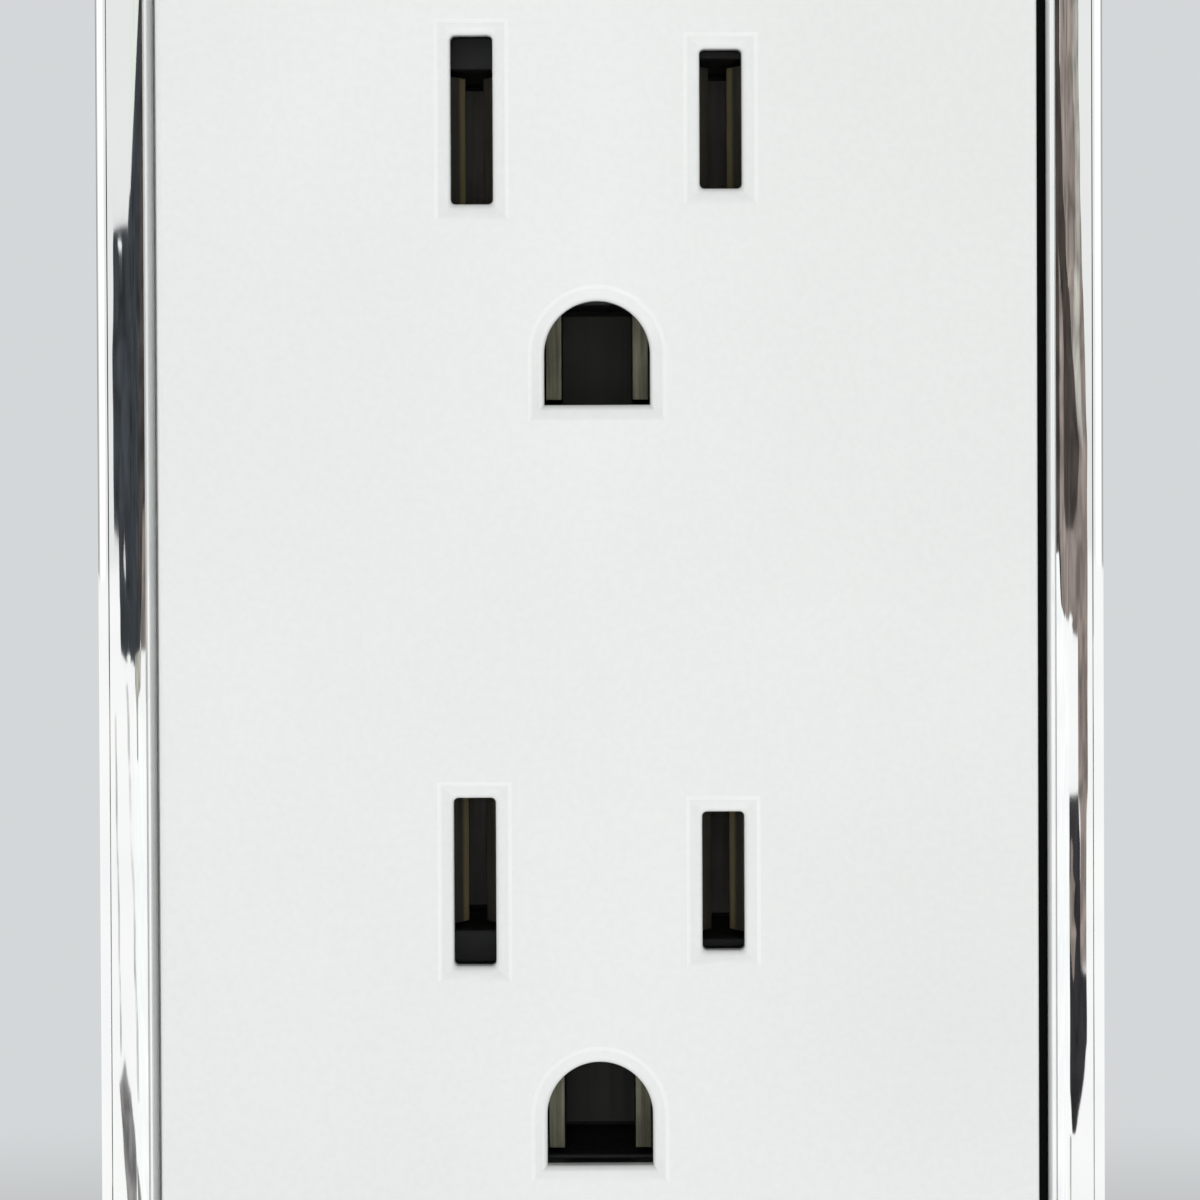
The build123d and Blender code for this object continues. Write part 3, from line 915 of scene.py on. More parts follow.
@dataclass(frozen=True)
class TrimFrame:
    """The slim chrome frame: one section carried round four rails and four corners."""

    width: float = 51.4
    height: float = 94.5
    corner: float = 4.05
    shift: float = 0.15
    rail: float = 2.95
    crest: float = 5.15
    sagitta: float = 0.15
    shoulder: float = 0.55
    shoulder_drop: float = 0.1
    shoulder_fullness: float = 0.39
    groove_width: float = 0.06
    groove_depth: float = 0.08
    bead_width: float = 0.44
    bead_drop: float = 0.5
    bead_edge: Pair = (0.06, 0.26)
    bead_bulge: float = 0.02
    bead_turn: float = 0.25
    wall: float = 1.1
    ledge_reach: float = 0.85
    ledge_top: float = 3.7
    ledge_thickness: float = 0.8
    rebate_margin: float = 0.05
    shoulder_steps: int = 10
    band_steps: int = 18
    bead_steps: tuple[int, int] = (6, 4)
    corner_steps: int = 16

    @property
    def band(self) -> Pair:
        """The convex band's outer and inner edge, measured from the frame's outer edge."""
        return self.shoulder + self.groove_width, self.rail - self.bead_width - self.groove_width

    @property
    def band_radius(self) -> float:
        """The radius of the band's arched section."""
        half = (self.band[1] - self.band[0]) / 2
        return (half**2 + self.sagitta**2) / (2 * self.sagitta)

    def _at(self, inward: float, height: float) -> Point:
        """A point of the section, at the lower end of the right rail."""
        return self.shift + self.width / 2 - inward, -height, self.corner - self.height / 2

    def _section(self) -> Workpiece:
        """Draws the rail's section, from the foot of its outer wall all the way round.

        Returns:
            The closed line.
        """
        edge = self.crest - self.sagitta
        top = edge - self.shoulder_drop
        outer, inner = self.band
        bead_top = edge - self.groove_depth
        fall = self.shoulder_fullness * self.shoulder
        pen = Workpiece.pen("chrome_trim_frame", self._at(0, 0))
        pen.lines_to(self._at(0, top - self.shoulder))
        pen.arc_to(self._at(fall, top - fall), self._at(self.shoulder, top), self.shoulder_steps)
        pen.lines_to(
            self._at(self.shoulder + self.groove_width / 2, top - self.groove_depth),
            self._at(outer, edge),
        )
        pen.arc_to(self._at((outer + inner) / 2, self.crest), self._at(inner, edge), self.band_steps)
        pen.lines_to(self._at(inner + self.groove_width, bead_top))
        edge_inset, edge_drop = self.bead_edge
        middle = (self.bead_width + edge_inset) / 2
        pen.arc_to(
            self._at(self.rail - middle, bead_top - edge_drop / 2 + self.bead_bulge),
            self._at(self.rail - edge_inset, bead_top - edge_drop),
            self.bead_steps[0],
        )
        pen.arc_to(
            self._at(self.rail - self.bead_turn * edge_inset, bead_top - (edge_drop + self.bead_drop) / 2),
            self._at(self.rail, bead_top - self.bead_drop),
            self.bead_steps[1],
        )
        ledge_edge = self.rail + self.ledge_reach
        ledge_back = self.ledge_top - self.ledge_thickness
        pen.lines_to(
            self._at(self.rail, self.ledge_top),
            self._at(ledge_edge, self.ledge_top),
            self._at(ledge_edge, ledge_back),
            self._at(self.wall, ledge_back),
            self._at(self.wall, 0),
            self._at(0, 0),
        )
        return pen

    def _inset(self, point: Vector) -> float:
        """How far inside the frame's outer edge a point lies, in millimetres.

        Args:
            point: The point, in metres.

        Returns:
            The distance.
        """
        beyond_x = abs(point.x / MM - self.shift) - self.width / 2 + self.corner
        beyond_z = abs(point.z) / MM - self.height / 2 + self.corner
        if beyond_x > 0 and beyond_z > 0:
            return self.corner - math.hypot(beyond_x, beyond_z)
        return self.corner - max(beyond_x, beyond_z)

    def _paint_rebate_light_and_shade(self, frame: Workpiece, painted_shade_side: Finish, painted_light_side: Finish) -> None:
        """Paints shade into the rebate on the right, where the frame's play opens the gap, and paints it
        white on the left, where the play closes it.

        Args:
            frame: The finished frame.
            painted_shade_side: The near-black shade painted into the right gap.
            painted_light_side: The face's white, painted into the left gap as painted light.
        """
        mesh = frame.obj.data
        for finish in (painted_shade_side, painted_light_side):
            mesh.materials.append(finish.material())
        for face in mesh.polygons:
            corners = [mesh.vertices[index].co for index in face.vertices]
            if all(self._inset(point) > self.rail - self.rebate_margin for point in corners):
                # Right of the middle the rebate takes painted shade, left of it painted light.
                if all(point.x > 0 for point in corners):
                    face.material_index = 1
                elif all(point.x < 0 for point in corners):
                    face.material_index = 2

    def build(self, finish: Finish, painted_shade_side: Finish, painted_light_side: Finish) -> None:
        """Carries the section round the frame and dresses it.

        Args:
            finish: The plating.
            painted_shade_side: The near-black shade painted into the gap on the right.
            painted_light_side: The face's white, painted into the gap on the left as painted light.
        """
        frame = self._section()
        reach_x = self.width / 2 - self.corner
        reach_z = self.height / 2 - self.corner
        # Each run's way in x and z, and the corner that it ends at
        runs = ((0, 1, 1, 1), (-1, 0, -1, 1), (0, -1, -1, -1), (1, 0, 1, -1))
        with frame.editing():
            bpy.ops.mesh.select_all(action="SELECT")
            bpy.ops.mesh.remove_doubles(threshold=NEAR)
            for run_x, run_z, side_x, side_z in runs:
                move = mm(2 * reach_x * run_x, 0, 2 * reach_z * run_z)
                bpy.ops.mesh.extrude_region_move(TRANSFORM_OT_translate={"value": move})
                bpy.ops.mesh.spin(
                    steps=self.corner_steps,
                    angle=-math.pi / 2,
                    center=mm(self.shift + side_x * reach_x, 0, side_z * reach_z),
                    axis=FRONT,
                )
        frame.close().smooth()
        finish.adopt(frame, "chrome_frame")
        self._paint_rebate_light_and_shade(frame, painted_shade_side, painted_light_side)

    def mirror_ray(self, rail: Rail, across: float, height: float, eye: Vector) -> tuple[Vector, Vector]:
        """What a spot on the band of an upright rail mirrors.

        Args:
            rail: The rail.
            across: Place across the band, from 0 at its outer edge to 1 at its inner one.
            height: Place along the rail, in millimetres.
            eye: Where it is seen from, in metres.

        Returns:
            The spot and the mirrored direction, in metres.
        """
        outer, inner = self.band
        lean = math.asin((inner - outer) / 2 / self.band_radius) * (1 - 2 * across)
        rise = self.crest - self.band_radius * (1 - math.cos(lean))
        inward = outer + across * (inner - outer)
        spot = mm(self.shift + rail.value * (self.width / 2 - inward), -rise, height)
        normal = Vector((rail.value * math.sin(lean), -math.cos(lean), 0.0))
        return spot, (spot - eye).normalized().reflect(normal)


@dataclass(frozen=True)
class FaceCover:
    """The white snap-on face with its apertures, skirt and hooks."""

    width: float = 44.9
    height: float = 88.0
    corner: float = 0.8
    front: float = 5.3
    thickness: float = 1.6
    edge: float = 0.35
    lip: float = 0.3
    lead_in: float = 0.82
    lead_in_edge: float = 0.2
    lead_in_depth: float = 0.2
    lead_in_overrun: float = 0.15
    # Where the painted highlight goes: faces within this reach across, tilted within these bounds, and turned
    # up by less than this.
    highlight_reach: float = 15.0
    highlight_tilts: Pair = (0.9, 0.995)
    highlight_rise: float = 0.1
    upright_tilt: float = 0.1
    tolerance: float = 0.01
    cut_margin: float = 1.0
    wall_overlap: float = 0.4
    slot_lines: Pair = (24.55, -14.35)
    slot_width: float = 2.15
    slot_heights: Pair = (8.6, 7.1)
    slot_corner: float = 0.25
    pole_x: float = 6.35
    earth_drop: float = 11.95
    earth_radius: float = 2.7
    earth_flat: float = 2.6
    skirt_inset: float = 0.9
    skirt_wall: float = 1.2
    skirt_base: float = 0.4
    strap_room: float = 38.4
    hook_inner: float = 18.2
    hook_thickness: float = 1.4
    hook_catch: float = 0.6
    hook_catch_depth: float = 0.05
    hook_length: float = 1.6
    hook_width: float = 6.0
    hook_heights: Pair = (12.0, -12.0)
    corner_steps: int = 6
    edge_steps: int = 5
    lip_steps: int = 6
    arch_steps: int = 40
    lead_in_arch_steps: int = 47

    @property
    def back(self) -> float:
        """Height of the plate's back."""
        return self.front - self.thickness

    def _slab(self, name: str, size: Pair, at: Pair, corner: float, heights: Pair) -> Workpiece:
        """A rounded slab between two heights.

        Args:
            name: The object's name.
            size: Its width and height.
            at: Its centre, across and up.
            corner: The radius of its corners, or 0.
            heights: How far it starts and ends above the wall.

        Returns:
            The slab.
        """
        slab = Workpiece(name, (at[0], -heights[0], at[1]), size)
        if corner:
            slab.round_corners(corner, self.corner_steps)
        return slab.extrude(0, heights[0] - heights[1], 0)

    def _openings(self, name: str, growth: float, heights: Pair) -> list[Workpiece]:
        """The outlines of all six apertures, grown with plain corners, as solids between two heights.

        Args:
            name: The solids' name.
            growth: How much wider than the aperture they are on every side.
            heights: Where they start and end above the wall.

        Returns:
            The solids.
        """
        solids = []
        for line in self.slot_lines:
            for pole, high in zip((-1, 1), self.slot_heights):
                at = (pole * self.pole_x, line)
                size = (self.slot_width + 2 * growth, high + 2 * growth)
                solids.append(self._slab(name, size, at, 0.0 if growth else self.slot_corner, heights))
            solids.append(self._earth_solid(name, line - self.earth_drop, growth, heights))
        return solids

    def _earth_solid(self, name: str, middle: float, growth: float, heights: Pair) -> Workpiece:
        """An earth hole's outline, grown: an arch over a flat foot.

        Args:
            name: The object's name.
            middle: The height of the arch's centre.
            growth: How much wider than the hole it is on every side.
            heights: Where it starts and ends above the wall.

        Returns:
            The solid.
        """
        reach = self.earth_radius + growth
        depth = -heights[0]
        foot = middle - self.earth_flat - growth
        steps = self.lead_in_arch_steps if growth else self.arch_steps
        pen = Workpiece.pen(name, (-reach, depth, foot))
        pen.lines_to((reach, depth, foot), (reach, depth, middle))
        pen.arc_to((0, depth, middle + reach), (-reach, depth, middle), steps)
        pen.lines_to((-reach, depth, foot))
        return pen.fill().extrude(0, heights[0] - heights[1], 0)

    def _skirt(self) -> list[Workpiece]:
        """The two side walls behind the plate, with short returns at their ends.

        Returns:
            The walls.
        """
        outer = self.width / 2 - self.skirt_inset
        inner = outer - self.skirt_wall
        end = self.height / 2 - self.skirt_inset
        turn = end - self.skirt_wall
        room = self.strap_room / 2
        half = ((room, turn), (room, end), (outer, end))
        outline = (*half, *[(x, -z) for x, z in reversed(half)], (inner, -turn), (inner, turn), half[0])
        walls = []
        for side in (-1, 1):
            drawn = [(side * x, -self.skirt_base, z) for x, z in outline]
            wall = Workpiece.pen("skirt", drawn[0]).lines_to(*drawn[1:]).fill()
            walls.append(wall.extrude(0, self.skirt_base - self.back - self.wall_overlap, 0))
        return walls

    def _hook(self, side: int, height: float) -> Workpiece:
        """One snap hook, with its catch towards the middle.

        Args:
            side: -1 at the left, 1 at the right.
            height: The height of its middle.

        Returns:
            The hook.
        """
        outer = self.hook_inner + self.hook_thickness
        low = height - self.hook_width / 2
        root = -self.back - self.wall_overlap
        corners = (
            (outer, root),
            (self.hook_inner, root),
            (self.hook_inner, self.hook_catch_depth),
            (self.hook_inner - self.hook_catch, self.hook_catch_depth),
            (self.hook_inner, self.hook_length),
            (outer, self.hook_length),
            (outer, root),
        )
        drawn = [(side * x, y, low) for x, y in corners]
        return Workpiece.pen("hook", drawn[0]).lines_to(*drawn[1:]).fill().extrude(0, 0, self.hook_width)

    def _brinks(self, lowest: float, highest: float) -> Callable[[bmesh.types.BMEdge], bool]:
        """A test for edges between two heights where the front turns into an upright wall.

        Args:
            lowest: The lower height.
            highest: The upper height.

        Returns:
            The test.
        """

        def found(edge: bmesh.types.BMEdge) -> bool:
            """Whether an edge is one of them.

            Args:
                edge: The edge.

            Returns:
                The answer.
            """
            if any(not lowest * MM - NEAR < -point.co.y < highest * MM + NEAR for point in edge.verts):
                return False
            return sorted(abs(face.normal.y) < self.upright_tilt for face in edge.link_faces) == [False, True]

        return found

    def _paint_edge_highlights(self, plate: Workpiece, finish: Finish) -> None:
        """Paints a highlight in a lighter white on the lead-ins' outer edges, but not on the lower ones.

        Args:
            plate: The finished plate.
            finish: The lighter white of the painted highlight.
        """
        mesh = plate.obj.data
        mesh.materials.append(finish.material())
        lowest = self.front - self.lead_in_depth * self.lead_in_edge / self.lead_in - self.tolerance
        least, most = self.highlight_tilts
        for face in mesh.polygons:
            corners = [mesh.vertices[index].co / MM for index in face.vertices]
            inside = all(abs(point.x) < self.highlight_reach for point in corners)
            high = all(-point.y > lowest for point in corners)
            sloped = least < -face.normal.y < most and face.normal.z < self.highlight_rise
            if inside and high and sloped:
                face.material_index = 1

    def build(self, finish: Finish, edge_finish: Finish) -> None:
        """Shapes the plate, cuts the apertures with their lead-ins, and adds skirt and hooks.

        Args:
            finish: The face's own finish.
            edge_finish: The lighter white painted on the lead-ins' outer edges as a highlight.
        """
        plate = self._slab(
            "white_face_cover", (self.width, self.height), (0.0, 0.0), self.corner, (self.back, self.front)
        )
        plate.split(-self.pole_x, 0, self.pole_x)
        beyond = self.front + self.cut_margin
        over = self.lead_in_overrun
        start = self.front + over * self.lead_in_depth
        slope = self.lead_in_depth / self.lead_in
        brim = over * self.lead_in + self.lead_in_edge
        for funnel in self._openings("lead_in", (1 + over) * self.lead_in, (start, beyond)):
            funnel.taper(brim, slope).taper((1 + 2 * over) * self.lead_in - brim, slope)
            plate.combine(funnel, Joining.CUT)
        for cutter in self._openings("aperture", 0.0, (self.back - self.cut_margin, beyond)):
            plate.combine(cutter, Joining.CUT)
        plate.close().round_edges(self._brinks(self.front, self.front), self.edge, self.edge_steps)
        funnel_end = self.front - (1 + over) * self.lead_in_depth
        lips = self._brinks(funnel_end, self.front - self.lead_in_depth / 2)
        plate.round_edges(lips, self.lip, self.lip_steps)
        for wall in self._skirt():
            plate.combine(wall, Joining.UNITE)
        for side in (-1, 1):
            for height in self.hook_heights:
                plate.combine(self._hook(side, height), Joining.UNITE)
        plate.close().smooth()
        finish.adopt(plate, "front_cover")
        # Paints a highlight on the lead-ins' outer edges.
        self._paint_edge_highlights(plate, edge_finish)


@dataclass(frozen=True)
class Screw:
    """A turned screw with a rolled thread, drawn with its head's top towards the front."""

    head_radius: float
    head_height: float
    head_edge: float
    radius: float
    length: float
    drive: Drive
    neck_radius: float = 0.0
    neck_length: float = 0.0
    point: float = 0.0
    pitch: float = 0.79
    thread_depth: float = 0.3
    slot_width: float = 1.0
    slot_depth: float = 0.8
    rings: int = 11
    sides: int = 36
    head_steps: int = 6
    tolerance: float = 0.01
    flank: Pair = (1.25, 2.1)
    run_out: float = 0.15
    drive_margin: float = 0.5
    cross_lengths: Pair = (1.15, 0.5)
    cross_half: float = 0.46
    cross_depth: float = 0.25

    def model(self, name: str) -> Workpiece:
        """Turns the screw, rolls its thread and cuts its drive.

        Args:
            name: The object's name.

        Returns:
            The screw.
        """
        fall = self.head_edge * (1 - math.sqrt(0.5))
        pen = Workpiece.pen(name, (0, -self.head_height, 0))
        pen.lines_to((self.head_radius - self.head_edge, -self.head_height, 0))
        pen.arc_to(
            (self.head_radius - fall, fall - self.head_height, 0),
            (self.head_radius, self.head_edge - self.head_height, 0),
            self.head_steps,
        )
        pen.lines_to((self.head_radius, 0, 0))
        if self.neck_length:
            pen.lines_to((self.neck_radius, 0, 0), (self.neck_radius, self.neck_length, 0))
        start = self.neck_length
        end = self.length - self.point
        pen.lines_to((self.radius, start, 0))
        count = max(1, round((end - start) / self.pitch * self.rings))
        pen.lines_to(*[(self.radius, start + (end - start) * k / count, 0) for k in range(1, count + 1)])
        if self.point:
            pen.lines_to((self.radius - self.point, self.length, 0))
        pen.lines_to((0, self.length, 0))
        screw = pen.lathe(self.sides)
        self._roll_thread(screw, start, end)
        return screw.combine(self._drive_cutter(), Joining.CUT).close().smooth()

    def _roll_thread(self, screw: Workpiece, start: float, end: float) -> None:
        """Sinks a helical groove into the shank, running out at both ends.

        Args:
            screw: The turned screw.
            start: Where the shank starts.
            end: Where it ends.
        """
        full, steepness = self.flank
        for point in screw.obj.data.vertices:
            x, y, z = point.co / MM
            if abs(math.hypot(x, z) - self.radius) > self.tolerance or not start < y <= end:
                continue
            turn = (y / self.pitch + math.atan2(z, x) / math.tau) % 1.0
            wave = min(1.0, max(0.0, full - abs(2 * turn - 1) * steepness))
            fade = min(1.0, (y - start) / self.pitch, (end - y) / self.pitch + self.run_out)
            sunk = 1 - self.thread_depth * wave * fade / self.radius
            point.co = Vector((x * sunk, y, z * sunk)) * MM

    def _drive_cutter(self) -> Workpiece:
        """The cutter for the slot, with a tapered cross for a combination drive.

        Returns:
            The cutter.
        """
        start = -self.head_height - self.drive_margin
        reach = 2 * (self.head_radius + self.drive_margin)
        cutter = Workpiece("drive", (0, start, 0), (reach, self.slot_width))
        cutter.extrude(0, self.slot_depth + self.drive_margin, 0)
        if self.drive is Drive.COMBINATION:
            for turned in (False, True):
                cutter.combine(self._cross_blade(turned), Joining.UNITE)
        return cutter

    def _cross_blade(self, turned: bool) -> Workpiece:
        """One tapered blade of the cross.

        Args:
            turned: Whether it stands across the slot.

        Returns:
            The blade.
        """
        top = -self.head_height
        bottom = top + self.slot_depth + self.cross_depth
        wide, narrow = (self.head_radius * length / 2 for length in self.cross_lengths)
        half = self.slot_width * self.cross_half
        profile = ((wide, top - self.drive_margin), (wide, top), (narrow, bottom))
        outline = [*profile, *[(-x, y) for x, y in reversed(profile)], profile[0]]
        if turned:
            drawn = [(-half, y, x) for x, y in outline]
            move = (2 * half, 0, 0)
        else:
            drawn = [(x, y, -half) for x, y in outline]
            move = (0, 0, 2 * half)
        return Workpiece.pen("blade", drawn[0]).lines_to(*drawn[1:]).fill().extrude(*move)


@dataclass(frozen=True)
class Fastening:
    """Some alike screws, each with the place of its head's underside and the way its head looks."""

    name: str
    node: str
    screw: Screw
    seats: tuple[Point, ...]
    facing: Point

    def build(self, finish: Finish) -> None:
        """Models the screw once and sets a copy in each place.

        Args:
            finish: The screws' finish.
        """
        master = self.screw.model("screw_master")
        turn = FRONT.rotation_difference(Vector(self.facing)).to_matrix().to_4x4()
        copies = []
        for number, seat in enumerate(self.seats):
            copies.append(master.copy(f"{self.name}_{number}", Matrix.Translation(mm(*seat)) @ turn))
        bpy.data.objects.remove(master.obj)
        pieces = copies[0].join(*copies[1:])
        pieces.obj.name = self.name
        finish.adopt(pieces, self.node)


TERMINAL_SCREW = Screw(3.8, 1.8, 0.5, 1.7, 7.2, Drive.COMBINATION, point=0.3)
EARTH_SCREW = Screw(3.6, 1.8, 0.5, 1.7, 3.3, Drive.COMBINATION, point=0.3)
MOUNTING_SCREW = Screw(
    3.3, 1.3, 0.6, 1.75, 23.4, Drive.SLOT, neck_radius=1.4, neck_length=2.15, point=0.583
)
BODY_SCREW = Screw(2.4, 1.8, 0.5, 1.4, 25.9, Drive.COMBINATION, point=0.3, thread_depth=0.25)


@dataclass(frozen=True)
class Fasteners:
    """Every screw of the socket."""

    terminal_x: float = 15.65
    terminal_depth: float = 9.6
    terminal_heights: Pair = (17.6, -7.4)
    earth_seat: Point = (-13.5, 5.7, -35.7)
    mounting_height: float = 41.65
    mounting_seat: float = -1.4
    body_places: Pair = (13.9, 29.8)
    body_seat: float = 22.7

    def build(self, finishes: Finishes) -> None:
        """Makes all screws.

        Args:
            finishes: The socket's finishes.
        """
        for side, word, finish in ((-1, "neutral", finishes.nickel), (1, "hot", finishes.brass)):
            seats = tuple((side * self.terminal_x, self.terminal_depth, z) for z in self.terminal_heights)
            node = f"{word}_terminal_screws"
            Fastening(f"{node}_turned", node, TERMINAL_SCREW, seats, (side, 0, 0)).build(finish)
        Fastening(
            "earth_screw_turned", "earth_terminal_screw", EARTH_SCREW, (self.earth_seat,), (0, 0, -1)
        ).build(finishes.green)
        seats = tuple((0.0, self.mounting_seat, side * self.mounting_height) for side in (1, -1))
        Fastening("mounting_screws_turned", "mounting_screws", MOUNTING_SCREW, seats, (0, -1, 0)).build(
            finishes.bright_zinc
        )
        x, z = self.body_places
        seats = tuple((i * x, self.body_seat, j * z) for i in (-1, 1) for j in (-1, 1))
        Fastening("body_screws_turned", "body_screws", BODY_SCREW, seats, (0, 1, 0)).build(
            finishes.bright_zinc
        )


@dataclass(frozen=True)
class PhotoCamera:
    """The camera, straight in front and close, as the photo was taken."""

    distance: float = 0.315
    shown_width: float = 0.0612
    aim: Point = (0.1, -5.3, 0.05)
    elevation: float = 1.4
    roll: float = 0.25
    sensor: float = 36.0
    nearest: float = 0.01

    @property
    def eye(self) -> Vector:
        """Where the camera stands."""
        lift = math.radians(self.elevation)
        return mm(*self.aim) + Vector((0.0, -math.cos(lift), math.sin(lift))) * self.distance

    def build(self) -> None:
        """Adds the camera and makes it the scene's."""
        data = bpy.data.cameras.new("photo_camera")
        data.sensor_width = self.sensor
        data.lens = self.sensor * self.distance / self.shown_width
        data.clip_start = self.nearest
        camera = bpy.data.objects.new("photo_camera", data)
        bpy.context.collection.objects.link(camera)
        camera.location = self.eye
        look = (mm(*self.aim) - self.eye).to_track_quat("-Z", "Y").to_matrix()
        camera.rotation_euler = (look @ Matrix.Rotation(math.radians(-self.roll), 3, "Z")).to_euler()
        bpy.context.scene.camera = camera


@dataclass(frozen=True)
class Card:
    """A glowing card, seen only in reflections, that paints a reflection onto the band of one rail, drawn by
    the share of the band that it fills.

    Each row holds a height along the rail, in millimetres, and the stretch across the band there, from 0
    at its outer edge to 1 at its inner one. A card on a higher layer stands nearer and covers the others.
    """

    name: str
    rail: Rail
    colour: Colour
    rows: tuple[Point, ...]
    layer: int = 0
    layer_step: float = 0.0005
    row_step: float = 1.0
    strength: float = 1.12
    mottle: float = 0.45
    mottle_scale: float = 300.0
    mottle_stretch: Point = (0.13, 0.13, 1.0)
    mottle_span: Pair = (0.3, 0.7)
    mottle_detail: float = 2.0
    least_stretch: float = 0.002

    def build(self, frame: TrimFrame, eye: Vector) -> None:
        """Draws the card on each board that its stretch of the band mirrors.

        Args:
            frame: The trim frame that mirrors it.
            eye: Where the mirror image is seen from.
        """
        paint = self._paint()
        for board in Board:
            outline = self._outline(board)
            if outline:
                self._stand(board, outline, frame, eye, paint)

    def _outline(self, board: Board) -> list[Pair]:
        """The card's outline within a board's stretch of the band, as places across and along it.

        Args:
            board: The board.

        Returns:
            The outline, or nothing where the card doesn't reach the stretch.
        """
        kept = []
        for first, last in zip(self.rows, self.rows[1:]):
            count = math.ceil(abs(first[0] - last[0]) / self.row_step)
            for step in range(count + 1):
                height, outer, inner = Vector(first).lerp(Vector(last), step / count)
                outer = max(outer, board.low)
                inner = min(inner, board.high)
                if inner - outer > self.least_stretch:
                    kept.append((height, outer, inner))
        edge = [(outer, height) for height, outer, inner in kept]
        return edge + [(inner, height) for height, outer, inner in reversed(kept)]

    def _stand(self, board: Board, outline: list[Pair], frame: TrimFrame, eye: Vector,
               paint: bpy.types.Material) -> None:
        """Stands one piece of the card where its mirror image fills the outline.

        Args:
            board: The board.
            outline: The outline on the band.
            frame: The trim frame that mirrors it.
            eye: Where the mirror image is seen from.
            paint: The card's material.
        """
        index = "xyz".index(board.axis)
        level = board.place + self.layer * self.layer_step
        if board is Board.MIDDLE:
            level *= self.rail.value
        points = []
        for across, height in outline:
            spot, way = frame.mirror_ray(self.rail, across, height, eye)
            points.append(tuple((spot + way * (level - spot[index]) / way[index]) / MM))
        piece = Workpiece.pen(f"{self.name}_{board.name.lower()}", points[0])
        piece.lines_to(*points[1:], points[0]).fill()
        if piece.obj.data.polygons[0].normal.dot(way) > 0:
            with piece.editing():
                bpy.ops.mesh.select_all(action="SELECT")
                bpy.ops.mesh.flip_normals()
        piece.obj.data.materials.append(paint)
        piece.obj.visible_camera = False
        piece.obj.visible_diffuse = False
        piece.obj.visible_shadow = False

    def _paint(self) -> bpy.types.Material:
        """A softly mottled glow on the card's front, which paints a reflection in the chrome, and nothing on
        its back.

        Returns:
            The material.
        """
        material = bpy.data.materials.new(self.name)
        material.use_nodes = True
        nodes = material.node_tree.nodes
        sketch = NodeSketch(material.node_tree)
        place = sketch.add("TexCoord", -6, 1)
        stretch = sketch.add("VectorMath", -5, 1, {1: self.mottle_stretch}, operation="MULTIPLY")
        cloud = sketch.add("TexNoise", -4, 1, {"Scale": self.mottle_scale, "Detail": self.mottle_detail})
        values = {
            "From Min": self.mottle_span[0],
            "From Max": self.mottle_span[1],
            "To Min": self.strength * (1 - self.mottle),
            "To Max": self.strength * (1 + self.mottle),
        }
        level = sketch.add("MapRange", -3, 1, values)
        tone = sketch.add("Emission", -2, 1, {"Color": opaque(self.colour)})
        sketch.link(place.outputs["Object"], stretch.inputs[0])
        sketch.link(stretch.outputs[0], cloud.inputs["Vector"])
        sketch.link(cloud.outputs["Fac"], level.inputs["Value"])
        sketch.link(level.outputs["Result"], tone.inputs["Strength"])
        clear = sketch.add("BsdfTransparent", -2, -1)
        side = sketch.add("NewGeometry", -3, 0)
        choice = sketch.add("MixShader", -1, 0)
        sketch.link(side.outputs["Backfacing"], choice.inputs[0])
        sketch.link(tone.outputs[0], choice.inputs[1])
        sketch.link(clear.outputs[0], choice.inputs[2])
        sketch.link(choice.outputs[0], nodes["Material Output"].inputs["Surface"])
        return material
